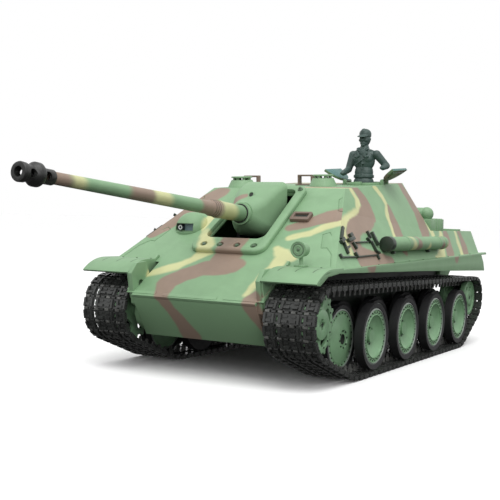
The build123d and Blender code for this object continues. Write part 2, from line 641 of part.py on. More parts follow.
def track(side):
    """All the links of one track, laid chord by chord along the pin line."""
    link = track_link()
    links = []
    for i in range(LINKS):
        y, z = on_path(RUNS, i * LINK_PITCH)
        y2, z2 = on_path(RUNS, (i + 1) * LINK_PITCH)
        heading = math.atan2(z2 - z, y2 - y)
        out = (0, math.sin(heading), -math.cos(heading))
        place = Plane(origin=(side * TRACK_X, y, z), x_dir=(-1, 0, 0), z_dir=out)
        links.append(place.location * link)
    return links


def turned(profile, y, z, side):
    """A ring from an outline of (distance from the track centre, radius), turned about a wheel axis."""
    face = make_face(Polyline(*[(x, r) for x, r in profile], close=True))
    ring = revolve(face, Axis.X, 360)
    ring = Pos(TRACK_X, y, z) * ring
    return ring if side > 0 else mirrored(ring)


def wheel_profile(inner, outer, dish):
    """Half section of one disc pair: tyre, web sunk or raised by dish, hub and the tube between."""
    tyre, web, hub = WHEEL_RADIUS, 21.4, 7.4
    bore = AXLE_PIN + RUNNING
    middle = (inner + outer) / 2
    centre = outer - dish
    rim = centre - (0.2 if dish else 1.4)
    return [
        (-centre, bore), (-centre, 4.6), (-rim, hub), (-outer + dish + 0.6, hub + 1.6),
        (-outer + 1.0, web), (-outer, web + 0.6), (-outer, tyre), (-inner, tyre), (-inner, web),
        (-middle + 0.6, web - 1), (-inner, hub + 2), (-inner, 5.0), (inner, 5.0), (inner, hub + 2),
        (middle - 0.6, web - 1), (inner, web), (inner, tyre), (outer, tyre), (outer, web + 0.6),
        (outer - 1.0, web), (outer - dish - 0.6, hub + 1.6), (rim, hub), (centre, 4.6),
        (centre, bore),
    ]


def road_wheel(number, side):
    """Odd axles carry a close pair inside the guide horns, even ones a wide pair outside them."""
    if number % 2:
        profile = wheel_profile(0.8, 4.8, 0.0)
    else:
        profile = wheel_profile(11.0, 18.4, WHEEL_DISH)
    return turned(profile, axle_y(number), AXLE_Z, side)


def idler(side):
    bore = AXLE_PIN + RUNNING
    profile = [
        (-13.6, bore), (-13.6, 6.5), (-12.2, 8.0), (-12.2, 14.2), (-13.2, 15.0), (-13.2, IDLER_RADIUS),
        (-8.2, IDLER_RADIUS), (-8.2, 14.6), (-9.4, 13.6), (-9.4, 8.0), (-8.2, 7.0), (8.2, 7.0), (9.4, 8.0),
        (9.4, 13.6), (8.2, 14.6), (8.2, IDLER_RADIUS), (13.2, IDLER_RADIUS), (13.2, 15.0), (12.2, 14.2),
        (12.2, 8.0), (13.6, 6.5), (13.6, bore),
    ]
    wheel = turned(profile, *IDLER, side)
    for angle in range(0, 360, 60):
        y = IDLER[0] + 11.0 * cos(angle)
        z = IDLER[1] + 11.0 * sin(angle)
        wheel -= rod_x(2.0, side * TRACK_X - 20, side * TRACK_X + 20, y, z)
    return wheel


TOOTH_TIP = 24.9
RING_RADIUS = 22.3
RING_INNER, RING_OUTER = 8.2, 10.7


def sprocket(side):
    """Drive sprocket: two toothed rings with oval windows, drum, flat hub and the shaft to the gearbox."""
    ring = Rot(0, 90, 0) * Cylinder(RING_RADIUS, RING_OUTER - RING_INNER)
    tooth = extrude(
        Plane.YZ * make_face(Polyline((-2.5, RING_RADIUS - 1), (-1.0, TOOTH_TIP), (1.0, TOOTH_TIP),
                                      (2.5, RING_RADIUS - 1), close=True)),
        (RING_OUTER - RING_INNER) / 2, both=True,
    )
    first = sprocket_phase()
    for i in range(SPROCKET_TEETH):
        ring += Rot(first + i * 360 / SPROCKET_TEETH, 0, 0) * tooth
    for i in range(5):
        window = Rot(i * 72, 0, 0) * Pos(0, 0, 15.2) * Rot(0, 90, 0) * extrude(
            SlotOverall(12.0, 6.4, rotation=90), 10, both=True)
        ring -= window
    middle = (RING_INNER + RING_OUTER) / 2
    wheel = Pos(middle, 0, 0) * ring + Pos(-middle, 0, 0) * ring
    drum = Rot(0, 90, 0) * Cylinder(10.2, 2 * RING_OUTER)
    hub = Pos(RING_OUTER + 1.2, 0, 0) * Rot(0, 90, 0) * Cylinder(11.0, 3.0)
    recess = Pos(RING_OUTER + 2.4, 0, 0) * (Box(2.6, 8.4, 3.0) + Box(2.6, 3.0, 8.4))
    shaft = rod_x(SPROCKET_SHAFT, 30 - TRACK_X, 0, 0, 0)
    boss = rod_x(6.0, -17.6, -RING_OUTER, 0, 0)
    wheel = wheel + drum + hub - recess + shaft + boss
    wheel = Pos(TRACK_X, *SPROCKET) * wheel
    return wheel if side > 0 else mirrored(wheel)


def sprocket_phase():
    """Angle that puts a tooth under the middle of a link wrapped on the sprocket."""
    best = min(
        (on_path(RUNS, (i + 0.5) * LINK_PITCH) for i in range(LINKS)),
        key=lambda p: math.dist(p, (SPROCKET[0] - SPROCKET_PITCH_RADIUS, SPROCKET[1])),
    )
    toward = math.degrees(math.atan2(best[1] - SPROCKET[1], best[0] - SPROCKET[0]))
    return toward - 90


def swing_arms():
    """Swing arm and axle of every road wheel, and the idler's crank, with their pins."""
    parts = []
    for number in range(1, AXLE_COUNT + 1):
        reach = 16.0 if number % 2 == 0 else 6.0
        y = axle_y(number)
        outline = [(y - 21, AXLE_Z + 14), (y - 15, AXLE_Z + 15), (y + 4, AXLE_Z + 3), (y + 2, AXLE_Z - 4),
                   (y - 5, AXLE_Z - 4), (y - 21, AXLE_Z + 7)]
        arm = slab_x(outline, 57.0, 61.0)
        arm += rod_x(5.0, 57.0, 61.0, y, AXLE_Z) + rod_x(6.0, TUB_HALF, 61.0, y - 18, AXLE_Z + 11)
        pin_end = TRACK_X + (18.4 - WHEEL_DISH if number % 2 == 0 else 4.8)
        arm += rod_x(AXLE_PIN, 60.0, pin_end - 0.4, y, AXLE_Z)
        arm += rod_x(4.4, 61.0, TRACK_X - reach - 2.8, y, AXLE_Z)
        parts += both(arm)
    y, z = IDLER
    crank = slab_x([(y - 16, z - 5), (y - 16, z + 6), (y + 4, z + 5), (y + 4, z - 5)], 57.0, 61.0)
    crank += rod_x(6.0, TUB_HALF, 61.0, y - 14, z) + rod_x(4.4, 61.0, TRACK_X - 14.0, y, z)
    crank += rod_x(AXLE_PIN, 60.0, TRACK_X + 13.2, y, z)
    return parts + both(crank)


# ---------------------------------------------------------------- gun

def gun_place(distance):
    """Location on the barrel axis, distance ahead of the trunnion, its own Z pointing to the muzzle."""
    y = TRUNNION[1] - distance * cos(GUN_TILT)
    z = TRUNNION[2] + distance * sin(GUN_TILT)
    return Plane(origin=(0, y, z), x_dir=(1, 0, 0), z_dir=(0, -cos(GUN_TILT), sin(GUN_TILT))).location


def from_trunnion(y):
    return (TRUNNION[1] - y) / cos(GUN_TILT)


def lathe(steps):
    """A body of revolution about the barrel axis from (distance, radius) steps."""
    points = [(steps[0][0], 0)] + steps + [(steps[-1][0], 0)]
    face = make_face(Polyline(*[(r, d) for d, r in points], close=True))
    return gun_place(0) * revolve(Plane.XZ * face, Axis.Z, 360)


def mantlet():
    """Cast mantlet: flat-topped box that narrows to the barrel root, with trunnion pins."""
    sections = [
        (-93.5, 20.4, 106.0, 152.0, 5.5), (-104.0, 19.6, 106.5, 148.6, 6.5),
        (-115.0, 17.4, 108.0, 142.6, 8.0),
        (-124.0, 13.6, 111.6, 137.0, 9.0), (-130.5, 9.6, 116.0, 134.0, 8.6),
    ]
    rings = []
    for y, half, low, high, radius in sections:
        place = Pos(0, y, (low + high) / 2) * Rot(90, 0, 0)
        rings.append(place * RectangleRounded(2 * half, high - low, radius))
    body = loft(rings)
    body += lathe([(from_trunnion(-128.0), 8.9), (from_trunnion(-133.0), 8.9), (from_trunnion(-134.4), 7.9)])
    body += box((-17.5, 17.5), (-94.0, -79.0), (110.0, 134.0))
    body += rod_x(TRUNNION_PIN, -26.3, 26.3, TRUNNION[1], TRUNNION[2])
    body -= gun_place(from_trunnion(-120)) * Cylinder(6.65, 60)
    sight = Pos(0.8, -112, 140.4) * Rot(90, 0, 0) * Cylinder(2.0, 20)
    return body - sight


def gun_barrel():
    """Barrel with its root sleeve, stepped down at the ring, bored at the muzzle end."""
    steps = [(from_trunnion(-112), 6.65), (from_trunnion(-166), 6.65), (from_trunnion(-166), 7.0),
             (from_trunnion(-170), 7.0), (from_trunnion(-170), 6.5), (from_trunnion(-179), 6.1),
             (from_trunnion(-180), 5.3), (from_trunnion(-353), 3.9)]
    barrel = lathe(steps)
    return barrel - gun_place(from_trunnion(-338)) * Cylinder(2.6, 40)


def muzzle_brake():
    """Two-chamber muzzle brake, bored through and open at both sides."""
    at = from_trunnion
    body = lathe([
        (at(-353), 4.8), (at(-362.3), 4.8), (at(-363.6), 6.6), (at(-365), 7.4), (at(-368), 7.4),
        (at(-369.6), 6.4), (at(-371), 5.1), (at(-375), 5.1), (at(-376.2), 5.9), (at(-379.6), 6.1),
        (at(-380.5), 5.7),
    ])
    body -= gun_place(at(-365)) * Cylinder(3.1, 60)
    for y in (-359.8, -373):
        body -= gun_place(at(y)) * Rot(0, 90, 0) * Cylinder(2.6, 30)
    return body


PEDESTAL_TOP = 96.4


def gun_yoke():
    """Fork that carries the mantlet's trunnions and turns on a pin in the pedestal."""
    x, y, z = TRUNNION
    yoke = box((-26.4, 26.4), (y - 13, y + 13), (PEDESTAL_TOP + 0.5, PEDESTAL_TOP + 3.5))
    for way in (-1, 1):
        low, high = sorted((way * 23.2, way * 26.4))
        yoke += box((low, high), (y - 7, y + 7), (PEDESTAL_TOP + 3, z + 5.5))
    yoke += Pos(0, y, PEDESTAL_TOP - 3) * Cylinder(3.0, 10)
    return yoke - rod_x(TRUNNION_PIN + RUNNING, -30, 30, y, z)


def gun_pedestal():
    """Hollow column from the hull floor that holds the gun's turning pin."""
    y = TRUNNION[1]
    column = box((-15, 15), (y - 15, y + 15), (FLOOR_Z + WALL, PEDESTAL_TOP))
    column -= box((-12.5, 12.5), (y - 12.5, y + 12.5), (FLOOR_Z, PEDESTAL_TOP - 12))
    column -= Pos(0, y, PEDESTAL_TOP) * Cylinder(3.0 + RUNNING, 30)
    column += box((-22, 22), (y - 18, y - 15), (FLOOR_Z + WALL, 50))
    return column


def gun_servo():
    y = TRUNNION[1]
    return box((-6, 6), (y - 11.5, y + 11.5), (60, 83)) + Pos(0, y - 5, 83.4) * Cylinder(2.6, 0.8 + 1.0)


# ---------------------------------------------------------------- inside the hull

def gearboxes():
    y, z = SPROCKET
    case = box((22, 51.5), (y - 5, y + 17), (33.5, 62)) - rod_x(SPROCKET_SHAFT + RUNNING, 26, 60, y, z)
    return both(case + box((22, 51.5), (y + 8, y + 14), (30.5, 34)))


def drive_motors():
    y = SPROCKET[0] + 17
    can = along_y(10.0, y, y + 34, 35, 47) + along_y(4.0, y + 34, y + 37, 35, 47)
    return both(can)


def battery_pack():
    pack = box((-22, 22), (-22, 62), (FLOOR_Z + WALL + 0.6, 50))
    return pack + box((-6, 6), (61, 66), (40, 46))


def battery_cover():
    (x1, x2), (y1, y2) = BAY
    cover = box((x1 + 0.3, x2 - 0.3), (y1 + 0.3, y2 - 0.3), (FLOOR_Z, FLOOR_Z + WALL))
    return cover - box((-6, 6), (y2 - 6, y2 - 4), (FLOOR_Z - 1, FLOOR_Z + 1))


def control_board():
    board = box((-32, 32), (72, 112), (36, 37.6))
    for x in (-29, 29):
        for y in (75, 109):
            board += Pos(x, y, 33.25) * Cylinder(2, 5.5)
    board += box((-20, -4), (80, 96), (37.5, 41)) + box((6, 26), (84, 92), (37.5, 44))
    for x in (-24, -12, 0, 12):
        board += box((x, x + 8), (103, 110), (37.5, 43))
    return board


def speaker():
    foot = FLOOR_Z + WALL
    rim = Pos(0, 130, foot + 1.5) * Cylinder(16, 3)
    return rim + Pos(0, 130, foot + 6) * Cone(13, 7, 6) + Pos(0, 130, foot + 11) * Cylinder(8, 4.4)


SCREWS = [(-44, -130), (44, -130), (-44, 0), (44, 0), (-44, 140), (44, 140)]


def hull_screws():
    """Screws under the floor that hold the two hull halves together."""
    screw = Cylinder(2.6, 1.2) - Pos(0, 0, -0.6) * (Box(3.6, 0.7, 0.8) + Box(0.7, 3.6, 0.8))
    return [Pos(x, y, FLOOR_Z - 0.6) * screw for x, y in SCREWS]


def power_switch():
    """Sliding button of the power switch, through its slot in the floor."""
    (x1, x2), (y1, y2) = SWITCH_SLOT
    button = box((x1 + 0.4, x2 - 0.4), (y1 + 0.5, y1 + 6.5), (FLOOR_Z - 1.6, FLOOR_Z + WALL + 1))
    foot = FLOOR_Z + WALL
    return button + box((x1 - 1.5, x2 + 1.5), (y1 - 1.0, y1 + 8), (foot + 0.4, foot + 2.4))


def main():
    os.makedirs("parts", exist_ok=True)
    pieces = {
        "lower_hull": lower_hull(), "upper_hull": upper_hull(), "track_guards": track_guards(),
        "rear_plate": rear_plate(), "exhaust_pipes": exhaust_pipes(), "rear_bins": rear_bins(),
        "engine_hatch": engine_hatch(), "deck_grilles": deck_grilles(), "gun_collar": gun_collar(),
        "collar_bolts": collar_bolts(), "bow_mount": bow_mount(), "lamp_lenses": lamp_lenses(),
        "headlight": headlight(), "periscope_guards": periscope_guards(), "roof_sights": roof_sights(),
        "hatch_ring": hatch_ring(), "hatch_flap_left": hatch_flap(1), "hatch_flap_right": hatch_flap(-1),
        "commander_figure": commander_figure(), "cleaning_tube": cleaning_tube(),
        "tube_fittings": tube_fittings(), "deck_tube": deck_tube(), "tool_brackets": tool_brackets(),
        "track_left": track(1), "track_right": track(-1), "swing_arms": swing_arms(),
        "gun_yoke": gun_yoke(), "mantlet": mantlet(), "gun_barrel": gun_barrel(),
        "muzzle_brake": muzzle_brake(), "gun_pedestal": gun_pedestal(), "gun_servo": gun_servo(),
        "gearboxes": gearboxes(), "drive_motors": drive_motors(), "battery_pack": battery_pack(),
        "battery_cover": battery_cover(), "control_board": control_board(), "speaker": speaker(),
        "hull_screws": hull_screws(), "power_switch": power_switch(),
    }
    for side, name in ((1, "left"), (-1, "right")):
        pieces[f"sprocket_{name}"] = sprocket(side)
        pieces[f"idler_{name}"] = idler(side)
        for number in range(1, AXLE_COUNT + 1):
            pieces[f"road_wheel_{name}_{number}"] = road_wheel(number, side)
    for name, part in pieces.items():
        save(name, part)


main()
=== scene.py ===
import json
import math

import bpy
from mathutils import Matrix, Vector

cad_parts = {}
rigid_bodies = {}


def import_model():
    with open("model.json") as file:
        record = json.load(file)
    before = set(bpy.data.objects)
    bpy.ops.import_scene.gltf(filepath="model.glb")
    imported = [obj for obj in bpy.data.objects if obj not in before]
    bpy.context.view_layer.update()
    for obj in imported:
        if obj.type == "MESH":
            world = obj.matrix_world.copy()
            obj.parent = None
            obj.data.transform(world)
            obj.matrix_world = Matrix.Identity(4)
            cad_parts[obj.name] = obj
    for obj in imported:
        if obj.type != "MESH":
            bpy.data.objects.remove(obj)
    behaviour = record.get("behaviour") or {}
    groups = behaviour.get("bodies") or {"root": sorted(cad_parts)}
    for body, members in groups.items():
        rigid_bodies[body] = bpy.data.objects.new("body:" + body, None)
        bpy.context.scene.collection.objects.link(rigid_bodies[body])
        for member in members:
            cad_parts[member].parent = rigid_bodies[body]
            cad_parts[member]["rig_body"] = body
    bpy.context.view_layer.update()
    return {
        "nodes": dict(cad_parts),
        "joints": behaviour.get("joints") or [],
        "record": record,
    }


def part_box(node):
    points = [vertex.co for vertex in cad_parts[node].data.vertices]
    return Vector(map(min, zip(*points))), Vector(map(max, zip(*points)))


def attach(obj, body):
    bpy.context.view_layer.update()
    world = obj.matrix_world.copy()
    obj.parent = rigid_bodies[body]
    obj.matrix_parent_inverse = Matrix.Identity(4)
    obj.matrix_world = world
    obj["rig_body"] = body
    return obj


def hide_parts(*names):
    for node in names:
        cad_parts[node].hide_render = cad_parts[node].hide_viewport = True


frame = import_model()
bpy.ops.object.select_all(action="DESELECT")

# Millimetres throughout, turned to metres where a mesh is made. +X is the vehicle's left, -Y its
# front, +Z up. Hull places count Y from midway between the fourth and fifth wheel axles.
MM = 0.001
JOINTS = {joint["name"]: joint for joint in frame["joints"]}
TRUNNION_Y = -88.0
SHIFT = JOINTS["gun_traverse"]["pos_m"][1] / MM - TRUNNION_Y
GUN_TILT = math.radians(4.46)


def at(x, y, z):
    """A hull place as a point of the frame, in metres."""
    return Vector((x, y + SHIFT, z)) * MM


def along(y):
    """A place along the hull as the frame's own Y, in metres."""
    return at(0, y, 0).y


def joint_place(name):
    """(x, y, z) of a joint in hull millimetres."""
    x, y, z = JOINTS[name]["pos_m"]
    return Vector((x / MM, y / MM - SHIFT, z / MM))


# Driving places of the hull's plates.
NOSE_Y, NOSE_Z = -201.6, 60.2
BOW_RUN, BOW_FOOT_Z = 20.6, 28.0
ROOF_Y, ROOF_Z, ROOF_HALF = -74.0, 147.5, 63.7
ROOF_BACK_Y, ROOF_BACK_Z = 69.5, 159.1
SPONSON_Y, SPONSON_Z = -162.0, 84.6
GLACIS = math.atan2(ROOF_Z - NOSE_Z, ROOF_Y - NOSE_Y)
BOW = math.atan2(NOSE_Z - BOW_FOOT_Z, BOW_RUN)
ROOF_RISE = math.atan2(ROOF_BACK_Z - ROOF_Z, ROOF_BACK_Y - ROOF_Y)
SIDE_SLOPE = math.tan(math.radians(30))
SPONSON_RISE = math.tan(math.radians(0.98))


def glacis_y(z):
    return NOSE_Y + (z - NOSE_Z) / math.tan(GLACIS)


def on_glacis(x, z):
    return (x, glacis_y(z), z)


def on_bow(x, z):
    return (x, NOSE_Y + (NOSE_Z - z) / math.tan(BOW), z)


def on_side(y, z, side=1):
    return (side * (ROOF_HALF + (ROOF_Z - z) * SIDE_SLOPE), y, z)


def on_roof(x, y):
    return (x, y, ROOF_Z + (y - ROOF_Y) * math.tan(ROOF_RISE))


def sponson_z(y):
    return SPONSON_Z + (y - SPONSON_Y) * SPONSON_RISE


# ------------------------------------------------------------------ node helpers

def put(tree, value, socket):
    """Links an output to a socket, or sets the socket to a plain value."""
    if isinstance(value, bpy.types.NodeSocket):
        tree.links.new(value, socket)
    else:
        socket.default_value = value


def maths(tree, operation, *values, clamp=False):
    node = tree.nodes.new("ShaderNodeMath")
    node.operation = operation
    node.use_clamp = clamp
    for value, socket in zip(values, node.inputs):
        put(tree, value, socket)
    return node.outputs[0]


def vectors(tree, operation, *values):
    node = tree.nodes.new("ShaderNodeVectorMath")
    node.operation = operation
    sockets = (node.inputs[0], node.inputs["Scale"]) if operation == "SCALE" else node.inputs
    for value, socket in zip(values, sockets):
        put(tree, value, socket)
    return node.outputs["Value" if operation in ("DOT_PRODUCT", "LENGTH") else "Vector"]


def blended(tree, share, first, second):
    """first where share is 0 and second where it is 1."""
    node = tree.nodes.new("ShaderNodeMix")
    node.data_type = "RGBA"
    put(tree, share, node.inputs[0])
    for value, socket in ((first, node.inputs[6]), (second, node.inputs[7])):
        put(tree, value if isinstance(value, bpy.types.NodeSocket) else (*value, 1.0), socket)
    return node.outputs[2]


def stepped(tree, value, low, high, out_low=0.0, out_high=1.0):
    """A smooth step from out_low to out_high while value goes from low to high."""
    node = tree.nodes.new("ShaderNodeMapRange")
    node.interpolation_type = "SMOOTHSTEP"
    for item, socket in zip((value, low, high, out_low, out_high), node.inputs):
        put(tree, item, socket)
    return node.outputs[0]


def noise(tree, point, scale, detail, roughness=0.5):
    """Noise over object space, with scale cells to a metre."""
    node = tree.nodes.new("ShaderNodeTexNoise")
    put(tree, point, node.inputs["Vector"])
    node.inputs["Scale"].default_value = scale
    node.inputs["Detail"].default_value = detail
    node.inputs["Roughness"].default_value = roughness
    return node.outputs[0]


def new_paint(name, roughness, metallic=0.0, specular=0.5):
    """A material, its tree, its shader node and the object-space point."""
    material = bpy.data.materials.new(name)
    material.use_nodes = True
    tree = material.node_tree
    shader = tree.nodes["Principled BSDF"]
    shader.inputs["Roughness"].default_value = roughness
    shader.inputs["Metallic"].default_value = metallic
    shader.inputs["Specular IOR Level"].default_value = specular
    point = tree.nodes.new("ShaderNodeTexCoord").outputs["Object"]
    return material, tree, shader, point


GRAIN_DEPTH = 0.08 * MM


def grained(tree, shader, point, strength, scale):
    """Fine moulded or sprayed grain in the surface's bump."""
    bump = tree.nodes.new("ShaderNodeBump")
    bump.inputs["Strength"].default_value = strength
    bump.inputs["Distance"].default_value = GRAIN_DEPTH
    put(tree, noise(tree, point, scale, 2.0), bump.inputs["Height"])
    put(tree, bump.outputs[0], shader.inputs["Normal"])


def worn(tree, colour, point, amount, scale=90.0):
    """The colour with a cloudy change of brightness, as sprayed or handled plastic has."""
    cloud = stepped(tree, noise(tree, point, scale, 4.0, 0.6), 0.3, 0.7, 1.0 - amount, 1.0 + amount)
    return vectors(tree, "SCALE", colour, cloud)


GLOSS_SPREAD = 0.07      # how far the roughness wanders each way


def plain_paint(name, colour, roughness, cloud, grain=0.15, scale=2500.0, metallic=0.0):
    """One colour, a little cloudy, with a fine grain."""
    material, tree, shader, point = new_paint(name, roughness, metallic)
    shade = tree.nodes.new("ShaderNodeRGB")
    shade.outputs[0].default_value = (*colour, 1.0)
    put(tree, worn(tree, shade.outputs[0], point, cloud), shader.inputs["Base Color"])
    spread = noise(tree, point, 400.0, 3.0)
    gloss = stepped(tree, spread, 0.2, 0.8, roughness - GLOSS_SPREAD, roughness + GLOSS_SPREAD)
    put(tree, gloss, shader.inputs["Roughness"])
    grained(tree, shader, point, grain, scale)
    return material


# ------------------------------------------------------------------ sprayed pattern

GREEN = (0.192, 0.326, 0.182)
BROWN = (0.250, 0.184, 0.140)
CREAM = (0.500, 0.510, 0.265)


def spray_stroke():
    """Node group: how far a point lies outside a tapering sprayed stroke, in metres."""
    tree = bpy.data.node_groups.new("spray_stroke", "ShaderNodeTree")
    for name in ("Point", "Start", "Run"):
        tree.interface.new_socket(name, in_out="INPUT", socket_type="NodeSocketVector")
    for name in ("Radius", "Taper"):
        tree.interface.new_socket(name, in_out="INPUT", socket_type="NodeSocketFloat")
    tree.interface.new_socket("Outside", in_out="OUTPUT", socket_type="NodeSocketFloat")
    given = tree.nodes.new("NodeGroupInput").outputs
    result = tree.nodes.new("NodeGroupOutput").inputs
    offset = vectors(tree, "SUBTRACT", given["Point"], given["Start"])
    forward = vectors(tree, "DOT_PRODUCT", offset, given["Run"])
    length = vectors(tree, "DOT_PRODUCT", given["Run"], given["Run"])
    share = maths(tree, "DIVIDE", forward, length, clamp=True)
    foot = vectors(tree, "SCALE", given["Run"], share)
    away = vectors(tree, "LENGTH", vectors(tree, "SUBTRACT", offset, foot))
    radius = maths(tree, "MULTIPLY_ADD", given["Taper"], share, given["Radius"])
    put(tree, maths(tree, "SUBTRACT", away, radius), result["Outside"])
    return tree


STROKE = spray_stroke()


def outside(tree, point, strokes):
    """How far the point is outside the nearest of the strokes, each a list of (place, radius)."""
    nearest = None
    for stroke in strokes:
        for (start, radius), (end, end_radius) in zip(stroke, stroke[1:]):
            node = tree.nodes.new("ShaderNodeGroup")
            node.node_tree = STROKE
            first = at(*start)
            put(tree, point, node.inputs["Point"])
            node.inputs["Start"].default_value = first
            node.inputs["Run"].default_value = at(*end) - first
            node.inputs["Radius"].default_value = radius * MM
            node.inputs["Taper"].default_value = (end_radius - radius) * MM
            distance = node.outputs[0]
            nearest = distance if nearest is None else maths(tree, "MINIMUM", nearest, distance)
    return nearest


EDGE_WANDER = 2.5        # how far a sprayed edge strays each way
BROWN_SOFT, CREAM_SOFT = 1.3, 1.82


def sprayed(tree, point, colour, paint, strokes, soft):
    """colour with the strokes sprayed over it in paint, edges soft and a little uneven."""
    cloud = noise(tree, point, 70.0, 2.0)
    wander = maths(tree, "MULTIPLY_ADD", cloud, 2 * EDGE_WANDER * MM, -EDGE_WANDER * MM)
    edge = maths(tree, "ADD", outside(tree, point, strokes), wander)
    cover = stepped(tree, edge, -soft * MM, soft * MM, 1.0, 0.0)
    return blended(tree, cover, colour, paint)


def line(place, *stops):
    """A stroke on one plate from (a, b, radius) stops."""
    return [(place(a, b), radius) for a, b, radius in stops]


def right_side(y, z):
    return on_side(y, z, -1)


FRONT_BROWN = [
    line(on_glacis, (-28, 61, 6), (-31, 70, 10), (-22, 77, 9), (-8, 82, 10), (8, 84, 11), (15, 85, 9)),
    line(on_glacis, (2, 86, 12), (3, 94, 13), (2, 102, 13)),
    line(on_bow, (-27, 59, 5), (-23, 52, 5), (-17, 42, 6), (-11, 30, 9)),
    line(on_bow, (49, 60, 6), (54, 50, 7), (58, 40, 4)),
    line(on_glacis, (50, 63, 7), (58, 69, 8)),
    line(on_glacis, (-84, 106, 5), (-79, 112, 8), (-72, 123, 8), (-66, 133, 10), (-54, 143, 9)),
    line(on_glacis, (40, 115, 5), (53, 119, 7), (66, 124, 9), (77, 127, 9)),
    [((-4, -131, 138), 5), ((2, -122, 145), 5)],
]
FRONT_CREAM = [
    line(on_glacis, (-57, 75, 3), (-46, 79, 5), (-35, 82, 5), (-25, 88, 4), (-19, 95, 8), (-27, 102, 7)),
    line(on_glacis, (-27, 102, 7), (-34, 109, 4.5), (-38, 115, 5), (-40, 122, 5)),
    line(on_glacis, (45, 107, 3), (60, 111, 4), (68, 116, 5), (80, 121, 6)),
    line(on_glacis, (40, 99, 3), (48, 95, 6), (59, 92, 4)),
    line(on_glacis, (50, 94, 6), (50, 85, 6), (45, 79, 4), (43, 66, 3)),
]
SIDE_BROWN = [
    ((-55, 152, 5), (-47, 139, 9), (-50, 129, 10), (-66, 121, 9), (-92, 117, 8), (-108, 108, 9),
     (-107, 90, 11)),
    ((-104, 94, 9), (-84, 92, 7), (-50, 90, 4)),
    ((3, 135, 3), (-2, 122, 7), (-6, 111, 9), (-12, 98, 6)),
    ((62, 157, 6), (66, 142, 7), (70, 129, 9), (64, 116, 10), (55, 104, 8)),
    ((121, 112, 6), (110, 98, 8), (100, 89, 8)),
    ((164, 113, 5), (160, 102, 7), (150, 91, 7)),
]
SIDE_CREAM = [
    ((-64, 151, 3), (-60, 139, 4), (-68, 129, 4), (-92, 124, 5), (-113, 119, 5), (-121, 108, 4),
     (-124, 98, 4)),
    ((-8, 152, 4), (-1, 144, 4), (0, 135, 4), (-12, 125, 4), (-15, 114, 4), (-22, 100, 3)),
    ((76, 158, 3), (80, 142, 4), (84, 126, 6), (82, 112, 5), (79, 100, 4)),
    ((60, 89, 3), (82, 94, 5), (100, 106, 4), (108, 113, 3)),
    ((152, 113, 3), (144, 101, 5), (138, 90, 4)),
]
TOP_BROWN = [
    ((60, -50, 6), (20, -42, 9), (-20, -52, 7), (-60, -40, 9)),
    ((62, 62, 7), (25, 60, 6), (-18, 46, 10), (-62, 52, 8)),
]
TOP_CREAM = [
    ((60, -62, 3), (18, -55, 4), (-22, -64, 3)),
    ((60, 77, 4), (20, 69, 4), (-20, 60, 4), (-62, 66, 4)),
]
DECK_HEIGHT = 114.3
RIGHT_LAG = -16.0    # the right side repeats the left side's pattern this far forward


def side_lines(stops_lists, place, lag):
    """Strokes on one side of the hull, lag further back than their stops say."""
    return [line(place, *[(y + lag, z, r) for y, z, r in stops]) for stops in stops_lists]


def deck_lines(width, lag):
    """Strokes over the engine deck and down the tail plate, width being their radius."""
    found = []
    for y, x, lean in ((104 + lag, 10, 18), (150 + lag, -30, -14), (186 + lag, 34, 16)):
        found.append([((x - 40, y - lean, DECK_HEIGHT), width), ((x + 34, y + lean, DECK_HEIGHT), width + 2)])
    for x in (-36 + lag, 4 + lag, 44 + lag):
        found.append([((x, 206, 112), width), ((x - 8, 186, 78), width + 1), ((x + 6, 168, 46), width)])
    return found


LEFT_BROWN = side_lines(SIDE_BROWN, on_side, 0)
LEFT_CREAM = side_lines(SIDE_CREAM, on_side, 0)
RIGHT_BROWN = side_lines(SIDE_BROWN, right_side, RIGHT_LAG)
RIGHT_CREAM = side_lines(SIDE_CREAM, right_side, RIGHT_LAG)
DECK_BROWN = [*[line(on_roof, *stops) for stops in TOP_BROWN], *deck_lines(8, 0)]
DECK_CREAM = [*[line(on_roof, *stops) for stops in TOP_CREAM], *deck_lines(3, 14)]


def base_green(tree):
    shade = tree.nodes.new("ShaderNodeRGB")
    shade.outputs[0].default_value = (*GREEN, 1.0)
    return shade.outputs[0]


FENDER_GROOVES = (66.0, 80.0, 94.0)     # distance of the pressed grooves from the middle
GROOVE_START, GROOVE_END = -190, -169
# Painted shade: dark lines in the paint where the pressed grooves run.
GROOVE_SHADE = (0.030, 0.050, 0.030)


def grooved(tree, point, colour):
    """The colour with painted shade lines where the pressed grooves run along the top of each front fender.
    """
    part = tree.nodes.new("ShaderNodeSeparateXYZ")
    put(tree, point, part.inputs[0])
    sideways = maths(tree, "ABSOLUTE", part.outputs[0])
    nearest = None
    for x in FENDER_GROOVES:
        away = maths(tree, "ABSOLUTE", maths(tree, "SUBTRACT", sideways, x * MM))
        nearest = away if nearest is None else maths(tree, "MINIMUM", nearest, away)
    groove = stepped(tree, nearest, 0.2 * MM, 0.5 * MM, 1.0, 0.0)
    front = stepped(tree, part.outputs[1], along(GROOVE_START), along(GROOVE_START + 1))
    rear = stepped(tree, part.outputs[1], along(GROOVE_END - 1), along(GROOVE_END), 1.0, 0.0)
    run = maths(tree, "MULTIPLY", front, rear)
    return blended(tree, maths(tree, "MULTIPLY", groove, run), colour, GROOVE_SHADE)


def camo_coat(name, browns, creams):
    """A material's grain and nodes, no colour yet, and the camouflage with painted groove shade to colour it
    with.
    """
    material, tree, shader, point = new_paint(name, 0.55, specular=0.4)
    colour = sprayed(tree, point, base_green(tree), CREAM, creams, CREAM_SOFT)
    colour = sprayed(tree, point, colour, BROWN, browns, BROWN_SOFT)
    grained(tree, shader, point, 0.12, 3000.0)
    return material, tree, shader, point, grooved(tree, point, colour)


def camo_paint(name, browns, creams):
    """Camouflage paint, a little cloudy."""
    material, tree, shader, point, colour = camo_coat(name, browns, creams)
    put(tree, worn(tree, colour, point, 0.05, 60.0), shader.inputs["Base Color"])
    return material


